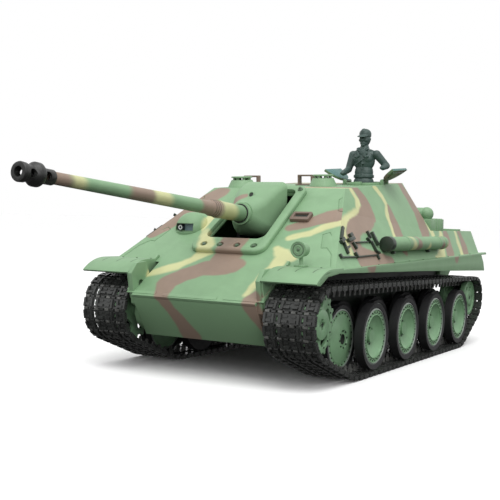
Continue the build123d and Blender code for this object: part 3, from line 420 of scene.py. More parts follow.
# The hull's paint in four parts, by where a face looks: front, left, right, and top with rear.
HULL_PAINTS = [
    camo_paint("front_camo_paint", FRONT_BROWN, FRONT_CREAM),
    camo_paint("left_camo_paint", LEFT_BROWN, LEFT_CREAM),
    camo_paint("right_camo_paint", RIGHT_BROWN, RIGHT_CREAM),
    camo_paint("top_camo_paint", DECK_BROWN, DECK_CREAM),
]
FRONT_PAINT = HULL_PAINTS[0]
GREEN_PAINT = plain_paint("fitting_green_paint", GREEN, 0.5, 0.05)
WHEEL_PAINT = plain_paint("wheel_green_paint", (0.170, 0.310, 0.170), 0.42, 0.08)
HATCH_BROWN = plain_paint("guard_brown_paint", (0.150, 0.105, 0.080), 0.5, 0.1)
TRACK_BLACK = plain_paint("track_black_plastic", (0.034, 0.036, 0.034), 0.28, 0.3, 0.3, 900.0)
# Grey for every other pin knuckle, which is worn, and for the guide horns, where it is a painted sheen.
TRACK_WEAR_SHEEN_GREY = plain_paint("track_wear_and_sheen_grey", (0.110, 0.112, 0.105), 0.42, 0.3, 0.3, 900.0)
TYRE_BLACK = plain_paint("tyre_black", (0.013, 0.013, 0.014), 0.55, 0.1, 0.2)
# Grey ring on the tyre's outer face: painted sheen of the glossy rubber, with some wear.
TYRE_WEAR_SHEEN_GREY = plain_paint("tyre_wear_and_sheen_grey", (0.190, 0.225, 0.195), 0.35, 0.1)
# Painted shade for pits, holes, slots and gaps.
PIT_SHADE = plain_paint("recess_painted_shade", (0.012, 0.018, 0.012), 0.7, 0.1)
INNER_BLACK = plain_paint("inner_black_plastic", (0.010, 0.011, 0.011), 0.6, 0.1)
FITTING_BLACK = plain_paint("fitting_dark_green", (0.018, 0.030, 0.018), 0.42, 0.15)
BOLT_GREEN = plain_paint("bolt_dark_green", (0.080, 0.130, 0.075), 0.4, 0.1)
BRAKE_GREY = plain_paint("brake_dark_grey", (0.012, 0.013, 0.012), 0.4, 0.12)
FIGURE_TEAL = plain_paint("figure_dark_teal", (0.044, 0.076, 0.067), 0.5, 0.12, 0.2)
FLAP_TEAL = (0.060, 0.165, 0.150)
FLAP_GREEN, FLAP_BROWN = (0.12, 0.19, 0.10), (0.14, 0.105, 0.075)
# Painted shade on the lower hull behind the front plate, where it sits under the fenders and between the
# tracks.
TUB_SHADE = (0.016, 0.024, 0.017)
LENS_GLASS = plain_paint("sight_lens", (0.020, 0.028, 0.036), 0.12, 0.1, 0.0)
LENS_WHITE = plain_paint("sight_ring_white", (0.80, 0.82, 0.80), 0.4, 0.02, 0.0)
EXHAUST_BROWN = plain_paint("exhaust_rust_brown", (0.100, 0.062, 0.042), 0.7, 0.35, 0.5, 700.0)
STEEL = plain_paint("motor_steel", (0.45, 0.45, 0.45), 0.3, 0.08, 0.1, 2500.0, 1.0)
BATTERY_BLUE = plain_paint("battery_wrap_blue", (0.03, 0.07, 0.25), 0.25, 0.05)
# Painted shade in the barrel's grooves.
BARREL_GROOVE_SHADE = plain_paint("barrel_groove_shade_brown", (0.060, 0.045, 0.032), 0.6, 0.1)
SIGHT_BACK = plain_paint("sight_back_blue_grey", (0.150, 0.215, 0.250), 0.35, 0.1)
BOARD_GREEN = plain_paint("board_green", (0.02, 0.14, 0.05), 0.3, 0.1)


def lower_hull_paint():
    """Camouflage on the lower front plate that fades further back to painted shade on the tub under the
    fenders.
    """
    material, tree, shader, point, colour = camo_coat("lower_hull_paint", FRONT_BROWN, FRONT_CREAM)
    part = tree.nodes.new("ShaderNodeSeparateXYZ")
    put(tree, point, part.inputs[0])
    fade = stepped(tree, part.outputs[1], along(-182), along(-168))
    put(tree, blended(tree, fade, colour, TUB_SHADE), shader.inputs["Base Color"])
    return material


BAND_WANDER = 6.0


def barrel_paint():
    """Soft bands along the barrel, placed by the distance along the vehicle."""
    material, tree, shader, point = new_paint("barrel_banded_paint", 0.5, specular=0.4)
    part = tree.nodes.new("ShaderNodeSeparateXYZ")
    put(tree, point, part.inputs[0])
    lean = maths(tree, "MULTIPLY_ADD", noise(tree, point, 60.0, 2.0), BAND_WANDER * MM, part.outputs[1])
    colour = base_green(tree)
    for paint, soft, bands in (
        (CREAM, 5.0, ((-336, -322), (-254, -231), (-168, -146))),
        (BROWN, 4.0, ((-356, -335), (-277, -251), (-193, -166))),
    ):
        for low, high in bands:
            start = stepped(tree, lean, along(low - soft), along(low + soft))
            end = stepped(tree, lean, along(high - soft), along(high + soft), 1.0, 0.0)
            colour = blended(tree, maths(tree, "MULTIPLY", start, end), colour, paint)
    put(tree, worn(tree, colour, point, 0.05, 60.0), shader.inputs["Base Color"])
    grained(tree, shader, point, 0.1, 3000.0)
    return material


def flap_paint():
    """Green-brown outside, teal on the faces that look into the vehicle when the flap is shut."""
    material, tree, shader, point = new_paint("flap_two_tone_paint", 0.5)
    normal = tree.nodes.new("ShaderNodeTexCoord").outputs["Normal"]
    part = tree.nodes.new("ShaderNodeSeparateXYZ")
    put(tree, normal, part.inputs[0])
    inside = stepped(tree, part.outputs[2], 0.25, 0.5)
    cloud = stepped(tree, noise(tree, point, 55.0, 1.0), 0.42, 0.56)
    outer = blended(tree, cloud, FLAP_GREEN, FLAP_BROWN)
    put(tree, blended(tree, inside, outer, FLAP_TEAL), shader.inputs["Base Color"])
    grained(tree, shader, point, 0.1, 3000.0)
    return material


LOWER_PAINT = lower_hull_paint()
MANTLET_PAINT = camo_paint("mantlet_camo_paint", [
    [((-22, -112, 128), 5), ((-12, -124, 136), 5), ((-4, -121, 141), 3)],
    [((-21, -98, 150), 4), ((-21, -98, 118), 4)],
], [[((22, -96, 110), 2), ((22, -94, 104), 2)]])
BARREL_PAINT = barrel_paint()
FLAP_PAINT = flap_paint()
TUBE_PAINT = camo_paint("tube_camo_paint", [
    [((90, -2, 112), 6), ((104, 2, 96), 6)], [((90, 60, 112), 4), ((104, 64, 96), 5)],
], [
    [((90, -18, 112), 5), ((104, -8, 96), 5)], [((90, 22, 112), 4), ((104, 28, 96), 3)],
    [((90, 70, 112), 4), ((104, 76, 96), 4)],
])


# ------------------------------------------------------------------ modelling helpers

def only(piece):
    """Selects one piece alone and makes it active."""
    if bpy.context.object and bpy.context.object.mode != "OBJECT":
        bpy.ops.object.mode_set(mode="OBJECT")
    bpy.ops.object.select_all(action="DESELECT")
    piece.select_set(True)
    bpy.context.view_layer.objects.active = piece
    return piece


def settle(piece, material=None):
    """Puts the piece's place into its mesh and gives it a first material."""
    only(piece)
    bpy.ops.object.transform_apply(location=True, rotation=True, scale=True)
    if material is not None:
        piece.data.materials.clear()
        piece.data.materials.append(material)
    return piece


def cube(low, high, material, turn=(0, 0, 0)):
    """A block between two corners, turned about its middle."""
    middle = [(a + b) / 2 for a, b in zip(low, high)]
    bpy.ops.mesh.primitive_cube_add(size=MM, location=at(*middle), rotation=turn)
    piece = bpy.context.object
    piece.scale = [abs(b - a) for a, b in zip(low, high)]
    return settle(piece, material)


def drum(place, radius, depth, material, turn=(0, 0, 0), sides=32):
    bpy.ops.mesh.primitive_cylinder_add(
        vertices=sides, radius=radius * MM, depth=depth * MM, location=at(*place), rotation=turn)
    return settle(bpy.context.object, material)


def ball(place, size, material, turn=(0, 0, 0), segments=32):
    bpy.ops.mesh.primitive_uv_sphere_add(
        segments=segments, ring_count=segments // 2, radius=MM, location=at(*place), rotation=turn)
    piece = bpy.context.object
    piece.scale = size
    return settle(piece, material)


def hoop(place, radius, thick, material, turn, around, across):
    """A round ring, thick being the radius of its wire."""
    bpy.ops.mesh.primitive_torus_add(
        major_segments=around, minor_segments=across, major_radius=radius * MM,
        minor_radius=thick * MM, location=at(*place), rotation=turn)
    return settle(bpy.context.object, material)


ACROSS = (0, math.pi / 2, 0)      # turns a drum's axis onto X
AHEAD = (math.pi / 2, 0, 0)       # turns a drum's axis onto Y
ON_GLACIS = (GLACIS, 0, 0)


def apply_modifier(piece, kind, **settings):
    only(piece)
    modifier = piece.modifiers.new(kind.lower(), kind)
    for name, value in settings.items():
        setattr(modifier, name, value)
    bpy.ops.object.modifier_apply(modifier=modifier.name)
    return piece


def softened(piece, width, segments, angle):
    """Rounds the sharp edges by width millimetres and shades the rest smooth."""
    apply_modifier(
        piece, "BEVEL", width=width * MM, segments=segments, limit_method="ANGLE",
        angle_limit=math.radians(angle), harden_normals=False)
    return smoothed(piece, angle)


def smoothed(piece, angle=35):
    only(piece)
    bpy.ops.object.shade_smooth_by_angle(angle=math.radians(angle))
    return piece


def joined(name, parts):
    """One piece of several, which keep their materials."""
    bpy.ops.object.select_all(action="DESELECT")
    for part in parts:
        part.select_set(True)
    bpy.context.view_layer.objects.active = parts[0]
    bpy.ops.object.join()
    piece = bpy.context.object
    piece.name = name
    piece.data.name = name
    return piece


def copied(piece, matrix):
    """A copy with its own mesh, moved by the matrix."""
    copy = piece.copy()
    copy.data = piece.data.copy()
    copy.data.transform(matrix)
    if matrix.determinant() < 0:
        copy.data.flip_normals()
    bpy.context.scene.collection.objects.link(copy)
    return copy


def fitted(piece, name, body, slot, *replaced):
    """Names the piece, hangs it on its body and hides the nodes it stands for."""
    piece.name = name
    piece.data.name = name
    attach(piece, body)
    if replaced:
        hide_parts(*replaced)
    return piece


SAME_POINT = 0.002       # points closer than this are one
FLAT_DEGREES = 0.2       # faces that meet at less than this are one


def from_node(node, material, width, angle=30, segments=2):
    """A merged copy of a node with its edges rounded, which then stands for the node."""
    source = frame["nodes"][node]
    piece = bpy.data.objects.new(node + "_skin", source.data.copy())
    bpy.context.scene.collection.objects.link(piece)
    only(piece)
    bpy.ops.object.mode_set(mode="EDIT")
    bpy.ops.mesh.select_all(action="SELECT")
    bpy.ops.mesh.remove_doubles(threshold=SAME_POINT * MM)
    bpy.ops.mesh.dissolve_limited(angle_limit=math.radians(FLAT_DEGREES))
    bpy.ops.object.mode_set(mode="OBJECT")
    piece.data.materials.clear()
    piece.data.materials.append(material)
    softened(piece, width, segments, angle)
    slot = next(part["material_slot"] for part in frame["record"]["subparts"] if part["node"] == node)
    return fitted(piece, node + "_skin", source["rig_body"], slot, node)


GLACIS_END = -95         # faces further forward than this take the front's paint


def plated(piece):
    """Shares the hull's four paints out over the piece's faces."""
    mesh = piece.data
    mesh.materials.clear()
    for material in HULL_PAINTS:
        mesh.materials.append(material)
    for face in mesh.polygons:
        if abs(face.normal.x) > 0.5:
            face.material_index = 1 if face.normal.x > 0 else 2
        elif face.center.y < along(GLACIS_END) or face.normal.y < -0.3:
            face.material_index = 0
        else:
            face.material_index = 3
    return piece


def painted(node, material):
    """Gives a node that stays its material."""
    mesh = frame["nodes"][node].data
    mesh.materials.clear()
    mesh.materials.append(material)


# ------------------------------------------------------------------ hull and fittings

for node in ("upper_hull", "rear_plate", "rear_bins", "engine_hatch", "deck_grilles"):
    plated(from_node(node, FRONT_PAINT, 0.35))
plated(from_node("track_guards", FRONT_PAINT, 0.2))
for node, material, rounding in (
    ("gun_collar", FRONT_PAINT, 0.5), ("lower_hull", LOWER_PAINT, 0.3), ("bow_mount", FRONT_PAINT, 0.3),
    ("exhaust_pipes", EXHAUST_BROWN, 0.3), ("collar_bolts", BOLT_GREEN, 0.15),
    ("headlight", GREEN_PAINT, 0.2), ("periscope_guards", HATCH_BROWN, 0.3),
    ("roof_sights", GREEN_PAINT, 0.3), ("hatch_ring", GREEN_PAINT, 0.25),
    ("hatch_flap_left", FLAP_PAINT, 0.3), ("hatch_flap_right", FLAP_PAINT, 0.3),
    ("cleaning_tube", TUBE_PAINT, 0.2), ("tube_fittings", FITTING_BLACK, 0.3),
    ("deck_tube", GREEN_PAINT, 0.3), ("tool_brackets", FITTING_BLACK, 0.15),
    ("swing_arms", INNER_BLACK, 0.3), ("gun_barrel", BARREL_PAINT, 0.2),
    ("muzzle_brake", BRAKE_GREY, 0.25), ("hull_screws", STEEL, 0.1), ("battery_cover", INNER_BLACK, 0.2),
):
    from_node(node, material, rounding)
for side in ("left", "right"):
    from_node(f"sprocket_{side}", WHEEL_PAINT, 0.2)
    from_node(f"idler_{side}", WHEEL_PAINT, 0.25)
for node, material in (
    ("gun_yoke", INNER_BLACK), ("gun_pedestal", INNER_BLACK), ("gun_servo", INNER_BLACK),
    ("gearboxes", INNER_BLACK), ("drive_motors", STEEL), ("battery_pack", BATTERY_BLUE),
    ("control_board", BOARD_GREEN), ("speaker", INNER_BLACK), ("power_switch", INNER_BLACK),
    ("lamp_lenses", LENS_GLASS),
):
    painted(node, material)

# ------------------------------------------------------------------ tracks

TRACK_X = 82.0
LINKS = 88
LINK_HALF = 20.6                        # half a link's width
WINDOW_IN, WINDOW_OUT = 8.2, 12.2       # a window's edges, from the link's middle
WHEEL_PIN, IDLER_PIN, SPROCKET_PIN = 28.4, 20.3, 25.6     # radii of the pin line round each wheel


def pin_line():
    """The pin line's runs: (length, start, end), or (length, centre, radius, first, sweep) where round."""
    stations = [
        ("road_wheel_left_1_spin", WHEEL_PIN), ("road_wheel_left_8_spin", WHEEL_PIN),
        ("idler_left_spin", IDLER_PIN), ("sprocket_left_spin", SPROCKET_PIN),
    ]
    rounds = [(Vector(joint_place(name)[1:]), radius) for name, radius in stations]
    ways = []
    for (here, radius), (there, next_radius) in zip(rounds, rounds[1:] + rounds[:1]):
        run = there - here
        share = (radius - next_radius) / run.length
        run.normalize()
        ways.append(run * share + Vector((run.y, -run.x)) * math.sqrt(1 - share * share))
    runs = []
    for i, (centre, radius) in enumerate(rounds):
        following, next_radius = rounds[(i + 1) % 4]
        first = math.atan2(ways[i - 1].y, ways[i - 1].x)
        sweep = (math.atan2(ways[i].y, ways[i].x) - first) % (2 * math.pi)
        runs.append((radius * sweep, centre, radius, first, sweep))
        start, end = centre + ways[i] * radius, following + ways[i] * next_radius
        runs.append(((end - start).length, start, end))
    return runs[1:] + runs[:1]


def on_line(runs, distance):
    """The point of the pin line that lies a distance along it."""
    distance %= sum(run[0] for run in runs)
    for length, *shape in runs:
        if distance <= length:
            break
        distance -= length
    if len(shape) == 2:
        start, end = shape
        return start.lerp(end, distance / length)
    centre, radius, first, sweep = shape
    angle = first + sweep * distance / length
    return centre + Vector((math.cos(angle), math.sin(angle))) * radius


def track_link():
    """One cast link: three webs with windows between, ribs, grouser, pin knuckles and two guide horns."""
    blocks = []
    for low, high in ((-LINK_HALF, -WINDOW_OUT), (-WINDOW_IN, WINDOW_IN), (WINDOW_OUT, LINK_HALF)):
        blocks.append(cube((low, 1.3, -1.5), (high, 8.4, 0.5), TRACK_BLACK))
    for low, high in ((0.9, 2.6), (7.1, 8.8)):
        blocks.append(cube((-LINK_HALF, low, -0.1), (LINK_HALF, high, 0.7), TRACK_BLACK))
    for low, high in ((-WINDOW_OUT, -10.9), (-9.5, -WINDOW_IN), (WINDOW_IN, 9.5), (10.9, WINDOW_OUT)):
        blocks.append(cube((low, 2.0, 0.0), (high, 7.8, 0.6), TRACK_BLACK))
    for x in (-19.6, -12.9, -7.2, 7.2, 12.9, 19.6):
        blocks.append(cube((x - 0.9, 1.4, 0.4), (x + 0.9, 8.3, 2.0), TRACK_BLACK))
    for low, high in ((-18.0, -14.0), (-5.6, -1.0), (1.0, 5.6), (14.0, 18.0)):
        blocks.append(cube((low, 5.6, 0.4), (high, 7.4, 2.3), TRACK_BLACK))
        blocks.append(cube((low + 0.6, 2.0, 0.4), (high - 0.6, 3.6, 1.2), TRACK_BLACK))
    # Every other knuckle takes the worn grey.
    for i, x in enumerate((-18.2, -13.0, -7.8, -2.6, 2.6, 7.8, 13.0, 18.2)):
        blocks.append(drum((x, 0, 0.1), 1.35, 3.4, TRACK_WEAR_SHEEN_GREY if i % 2 else TRACK_BLACK, ACROSS, 6))
    # The guide horns take the grey as a painted sheen.
    for x in (-6.3, 6.3):
        blocks.append(cube((x - 0.8, 2.6, -4.6), (x + 0.8, 7.0, -1.0), TRACK_WEAR_SHEEN_GREY))
        blocks.append(cube((x - 0.7, 3.4, -7.6), (x + 0.7, 5.8, -4.4), TRACK_WEAR_SHEEN_GREY))
    return joined("track_link", blocks)


def track(side):
    """A side's links, laid one after another along the pin line."""
    link = track_link()
    home = Matrix.Translation(-at(0, 0, 0))
    runs = pin_line()
    pitch = sum(run[0] for run in runs) / LINKS
    laid = []
    for i in range(LINKS):
        here, there = on_line(runs, i * pitch), on_line(runs, (i + 1) * pitch)
        run = (there - here).normalized()
        place = at(side * TRACK_X, here.x, here.y)
        lay = Matrix((
            (-1, 0, 0, place.x),
            (0, run.x, run.y, place.y),
            (0, run.y, -run.x, place.z),
            (0, 0, 0, 1),
        ))
        laid.append(copied(link, lay @ home))
    bpy.data.objects.remove(link)
    name = "track_left" if side > 0 else "track_right"
    return fitted(joined(name + "_links", laid), name + "_links", "hull", "track_black", name)


track(1)
track(-1)

# ------------------------------------------------------------------ road wheels

TYRE_RADIUS = 26.1
WIDE_HUB_X = 12.9        # face of the outer wheels' sunk hub, from the wheel's middle
# Tyre black, the tyre face's ring of painted sheen and wear, green paint, and painted shade in holes.
WHEEL_COLOURS = [TYRE_BLACK, TYRE_WEAR_SHEEN_GREY, WHEEL_PAINT, PIT_SHADE]
TYRE, SHEEN_RING, PAINT, HOLE_SHADE = range(4)
WHEEL_TURN = 0.7         # each wheel stands this much further round than the last, in radians


def turned_disc(outer, depth, rings, sides=64):
    """A disc on the X axis through the hull's origin, its +X face stepped by (width, rise, colour)."""
    disc = drum((outer - depth / 2, 0, 0), TYRE_RADIUS, depth, None, ACROSS, sides)
    for material in WHEEL_COLOURS:
        disc.data.materials.append(material)
    face_index = max(disc.data.polygons, key=lambda item: item.center.x).index
    only(disc)
    bpy.ops.object.mode_set(mode="EDIT")
    bpy.ops.mesh.select_all(action="DESELECT")
    bpy.ops.object.mode_set(mode="OBJECT")
    disc.data.polygons[face_index].select = True
    bpy.ops.object.mode_set(mode="EDIT")
    bpy.ops.mesh.select_mode(type="FACE")
    for width, rise, colour in rings:
        disc.active_material_index = colour
        bpy.ops.object.material_slot_assign()
        bpy.ops.mesh.inset(thickness=width * MM, depth=rise * MM)
    bpy.ops.object.mode_set(mode="OBJECT")
    return disc


def dotted(count, radius, x, size, depth, first=0.0):
    """Small round dots of painted shade in a ring on a disc's face, for pits and bolts."""
    dots = []
    for i in range(count):
        angle = first + i * 2 * math.pi / count
        place = (x, radius * math.cos(angle), radius * math.sin(angle))
        dots.append(drum(place, size, depth, PIT_SHADE, ACROSS, 8))
    return dots


def wide_wheel():
    """Outer pair: dished face with a pitted flange, and a plain inner disc behind it."""
    face = turned_disc(18.4, 7.4, (
        (3.4, -0.3, TYRE), (0.35, -0.5, TYRE), (1.1, 0.6, SHEEN_RING), (0.3, -0.9, SHEEN_RING), (3.3, 0.0, PAINT),
        (0.35, 0.6, PAINT), (0.45, 0.0, PAINT), (0.35, -1.2, PAINT), (2.2, -2.0, PAINT), (3.4, -1.4, PAINT),
        (3.6, -0.5, PAINT), (0.4, -0.4, PAINT), (2.6, 0.0, PAINT), (0.1, 0.6, HOLE_SHADE), (0.9, 0.1, HOLE_SHADE),
    ))
    inner = turned_disc(-11.0, 7.4, ((4.2, -0.5, TYRE), (0.8, -0.4, SHEEN_RING), (12.0, -1.2, PAINT)))
    shaft = drum((0, 0, 0), 5.2, 30.0, WHEEL_PAINT, ACROSS, 24)
    spots = dotted(26, 19.3, 17.5, 0.62, 0.5) + dotted(26, 18.2, 17.5, 0.34, 0.5, math.pi / 26)
    spots += dotted(8, 6.4, WIDE_HUB_X, 0.8, 0.5, 0.2)
    return joined("wide_wheel", [smoothed(face, 24), smoothed(inner, 24), shaft, *spots])


def close_wheel():
    """Inner pair: convex dish with a ring of bolts, a mirrored disc behind it."""
    rings = (
        (2.6, -0.2, TYRE), (0.35, -0.4, TYRE), (1.0, 0.3, SHEEN_RING), (0.3, -0.9, SHEEN_RING), (2.8, 0.0, PAINT),
        (0.3, 0.5, PAINT), (3.5, 1.0, PAINT), (4.4, 0.9, PAINT), (3.4, 0.2, PAINT), (0.4, -0.6, PAINT),
        (3.0, 0.0, PAINT), (0.1, -1.5, HOLE_SHADE), (0.5, 0, HOLE_SHADE),
    )
    face = smoothed(turned_disc(4.8, 4.0, rings), 24)
    back = copied(face, Matrix.Diagonal((-1, 1, 1, 1)))
    spots = dotted(24, 20.2, 4.05, 0.6, 0.5) + dotted(8, 6.6, 6.2, 0.7, 0.6, 0.2)
    shaft = drum((0, 0, 0), 4.5, 3.0, WHEEL_PAINT, ACROSS, 24)
    return joined("close_wheel", [face, back, shaft, *spots])


def road_wheels():
    """The odd wheels of each side are the close pairs, and the even ones the wide."""
    prototypes = [wide_wheel(), close_wheel()]
    home = Matrix.Translation(-at(0, 0, 0))
    for side, name in ((1, "left"), (-1, "right")):
        for number in range(1, 9):
            node = f"road_wheel_{name}_{number}"
            centre = joint_place(node + "_spin")
            turn = Matrix.Rotation(WHEEL_TURN * number, 4, "X")
            mirror = Matrix.Diagonal((side, 1, 1, 1))
            place = Matrix.Translation(at(side * TRACK_X, centre.y, centre.z))
            wheel = copied(prototypes[number % 2], place @ mirror @ turn @ home)
            fitted(wheel, node + "_disc", node, "wheel_green", node)
    for wheel in prototypes:
        bpy.data.objects.remove(wheel)


road_wheels()


def sprocket_trim(name, side):
    """Dark bolt heads round the sprocket's rim, and painted shade in its core behind the windows and in its
    hub's cross recess.
    """
    centre = joint_place(f"sprocket_{name}_spin")
    low, high = (corner.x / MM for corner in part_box(f"sprocket_{name}"))
    outer = high if side > 0 else -low
    spots = dotted(17, 19.6, 10.8, 0.7, 0.5)
    spots.append(drum((0, 0, 0), 18.0, 6.0, PIT_SHADE, ACROSS, 40))
    recess = outer - TRACK_X
    for wide, tall in ((0.45, 1.8), (1.8, 0.45)):
        spots.append(cube((recess - 0.2, -wide, -tall), (recess + 0.1, wide, tall), PIT_SHADE))
    trim = joined("sprocket_trim", spots)
    place = Matrix.Translation(at(side * TRACK_X, centre.y, centre.z)) @ Matrix.Diagonal((side, 1, 1, 1))
    trim.data.transform(place @ Matrix.Translation(-at(0, 0, 0)))
    if side < 0:
        trim.data.flip_normals()
    return fitted(trim, f"sprocket_{name}_trim", f"sprocket_{name}", "wheel_green")


sprocket_trim("left", 1)
sprocket_trim("right", -1)

# ------------------------------------------------------------------ crew figure

FIGURE_X, FIGURE_Y = 36.5, 25.0
SKIN_CELL = 0.42         # size of the cells that melt the figure's lumps into one skin


def limb(start, end, radius, end_radius):
    """A tapered round limb with a ball at each end."""
    first, last = Vector(start), Vector(end)
    way = last - first
    turn = way.to_track_quat("Z", "Y").to_euler()
    bpy.ops.mesh.primitive_cone_add(
        vertices=20, radius1=radius * MM, radius2=end_radius * MM, depth=way.length * MM,
        location=at(*((first + last) / 2)), rotation=turn)
    cone = settle(bpy.context.object, FIGURE_TEAL)
    return [cone, ball(first, (radius,) * 3, FIGURE_TEAL), ball(last, (end_radius,) * 3, FIGURE_TEAL)]


def crewman():
    """Half figure in a peaked cap and short jacket, one arm out on the flap, the other bent forward."""
    def there(x, y, z):
        return FIGURE_X + x, FIGURE_Y + y, z

    parts = []

    def lump(x, y, z, size, turn=(0, 0, 0)):
        parts.append(ball(there(x, y, z), size, FIGURE_TEAL, turn, 24))

    def slab(x, y, z, size, turn=(0, 0, 0)):
        half = Vector(size) / 2
        middle = Vector(there(x, y, z))
        parts.append(cube(middle - half, middle + half, FIGURE_TEAL, turn))

    lump(0, 0, 151.5, (9.2, 7.4, 6.5))
    lump(0, 0, 157.5, (9.8, 7.6, 7.0))
    lump(0, 0, 166.5, (8.9, 6.6, 9.5))
    lump(0, 0, 177.0, (10.4, 6.9, 9.5))
    lump(0, 0.4, 183.2, (12.0, 5.6, 4.0))
    lump(-4.6, -2.4, 179.0, (5.0, 4.8, 5.0))
    lump(4.6, -2.4, 179.0, (5.0, 4.8, 5.0))
    waist = there(0, 0, 163.0)
    to_waist = Matrix.Translation(at(*waist))
    belt = drum(waist, 1.0, 2.6, FIGURE_TEAL, (0, 0, 0), 40)
    belt.data.transform(to_waist @ Matrix.Diagonal((9.7, 7.4, 1, 1)) @ to_waist.inverted())
    parts.append(belt)
    slab(0, -7.3, 163.0, (3.2, 1.0, 3.4))
    parts.extend(limb(there(0, 0.2, 184.0), there(0, -0.4, 192.5), 6.2, 3.3))
    lump(0, 0.2, 197.2, (5.1, 5.9, 6.4))
    lump(0, -1.4, 193.6, (3.7, 4.4, 3.3))
    lump(0, -4.4, 191.6, (1.9, 1.4, 1.3))
    lump(0, -6.0, 196.3, (0.85, 1.3, 1.7))
    lump(0, -5.2, 193.4, (1.7, 0.8, 0.42))
    lump(-2.6, -4.2, 196.0, (1.7, 1.5, 1.5))
    lump(2.6, -4.2, 196.0, (1.7, 1.5, 1.5))
    for way in (-1, 1):
        lump(way * 2.1, -5.35, 198.1, (1.35, 0.6, 0.35))
        lump(way * 4.9, 0.8, 197.2, (0.7, 1.3, 1.6))
    lump(0, 0.6, 202.0, (5.5, 6.4, 5.0))
    lump(0, 0.4, 200.4, (5.6, 6.6, 1.5))
    lump(0, -5.8, 199.7, (5.2, 4.6, 0.7), (math.radians(16), 0, 0))
    lump(0, -2.6, 203.6, (3.0, 3.2, 3.4))
    for way in (-1, 1):
        lump(way * 3.3, -2.6, 187.4, (1.3, 4.4, 2.6), (0, math.radians(way * 30), math.radians(way * 26)))
        slab(way * 3.7, -7.1, 183.0, (2.8, 1.2, 5.4), (math.radians(-8), math.radians(way * 34), 0))
        slab(way * 5.6, -7.4, 180.6, (4.2, 1.0, 1.3), (0, math.radians(way * -12), 0))
        slab(way * 8.6, 0.2, 186.3, (6.4, 3.0, 1.2), (0, math.radians(way * 22), 0))
    slab(-3.4, -7.7, 174.8, (9.6, 1.0, 0.9), (0, math.radians(-34), 0))
    slab(0.6, -7.6, 170.0, (0.7, 1.0, 11.0))
    for z in (182.4, 178.4, 174.2, 169.6):
        lump(1.9, -7.5, z, (0.6, 0.6, 0.6))
    left = [there(11.8, 0.6, 183.2), there(19.8, 5.4, 173.0), there(19.6, -2.5, 170.8)]
    right = [there(-11.6, 0.6, 183.0), there(-14.6, -2.0, 169.4), there(-15.0, -12.5, 165.4)]
    for shoulder, elbow, wrist in (left, right):
        parts.extend(limb(shoulder, elbow, 3.9, 3.2))
        parts.extend(limb(elbow, wrist, 3.2, 2.5))
        lump(wrist[0] - FIGURE_X, wrist[1] - FIGURE_Y - 1.6, wrist[2] - 0.3, (2.3, 2.9, 1.7))
    figure = joined("crewman", parts)
    apply_modifier(figure, "REMESH", mode="VOXEL", voxel_size=SKIN_CELL * MM)
    apply_modifier(figure, "SMOOTH", factor=0.5, iterations=1)
    figure.data.materials.clear()
    figure.data.materials.append(FIGURE_TEAL)
    only(figure)
    bpy.ops.object.shade_smooth()
    return fitted(figure, "crewman", "commander_figure", "figure_teal", "commander_figure")


crewman()

# ------------------------------------------------------------------ gun mantlet and front fittings

from_node("mantlet", MANTLET_PAINT, 1.6, 20, 4)


def gun_ring(distance, radius, thick, material):
    """A ring round the gun's tilted axis, its middle at a place along the vehicle."""
    trunnion = joint_place("gun_elevation")
    drop = (distance - trunnion.y) * math.tan(GUN_TILT)
    place = (0, distance, trunnion.z - drop)
    return hoop(place, radius, thick, material, (math.pi / 2 - GUN_TILT, 0, 0), 48, 10)


def sight_rim():
    """Raised rim round the sighting hole in the mantlet's sloping top, the hole a dark disc of painted shade.
    """
    x, z = 0.8, 140.4
    facing = (math.pi / 2 - math.atan2(11.6, 20.0), 0, 0)
    rim = smoothed(hoop((x, -118.6, z), 2.5, 0.6, GREEN_PAINT, facing, 36, 10))
    hole = drum((x, -118.2, z), 2.1, 1.0, PIT_SHADE, facing, 24)
    return fitted(joined("sight_rim", [rim, hole]), "sight_rim", "gun", "camo_paint")


sight_rim()
# A dark ring of painted shade in the gap round the gun's boss, then the boss's lip.
fitted(smoothed(gun_ring(-134.1, 7.2, 0.75, PIT_SHADE)), "boss_gap", "gun", "camo_paint")
fitted(smoothed(gun_ring(-133.4, 8.5, 0.7, MANTLET_PAINT)), "boss_lip", "gun", "camo_paint")
# Dark rings of painted shade in the barrel's grooves.
grooves = []
for distance, radius in ((-172.4, 6.2), (-175.2, 6.1), (-178.0, 6.0)):
    grooves.append(gun_ring(distance, radius, 0.32, BARREL_GROOVE_SHADE))
fitted(joined("barrel_grooves", grooves), "barrel_grooves", "gun", "camo_paint")


def lamp_cover():
    """Ringed cover in front of the headlight."""
    x, z = 74.0, 99.4
    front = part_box("headlight")[0].y / MM - SHIFT
    parts = [drum((x, front - 0.1, z), 6.3, 1.0, GREEN_PAINT, AHEAD, 48)]
    for radius, material in ((5.7, GREEN_PAINT), (4.2, BOLT_GREEN), (2.6, GREEN_PAINT)):
        parts.append(smoothed(hoop((x, front - 0.5, z), radius, 0.4, material, AHEAD, 40, 8)))
    parts.append(ball((x, front - 0.5, z), (1.3, 0.9, 1.3), BOLT_GREEN))
    return fitted(joined("lamp_cover", parts), "lamp_cover", "hull", "camo_paint")


lamp_cover()


def bow_sight():
    """Blue-grey back of the ball mount's recess, a dark block of painted shade beside it, and a white ring
    round the lens.
    """
    back = cube((-56.4, -129.2, 108.6), (-46.6, -127.2, 115.4), SIGHT_BACK)
    dark = cube((-64.2, -129.0, 108.6), (-56.4, -127.2, 115.4), PIT_SHADE)
    ring = smoothed(hoop((-59.0, -132.0, 112.2), 1.5, 0.35, LENS_WHITE, AHEAD, 32, 8))
    return fitted(joined("bow_sight", [back, dark, ring]), "bow_sight", "hull", "clear_lens")


bow_sight()


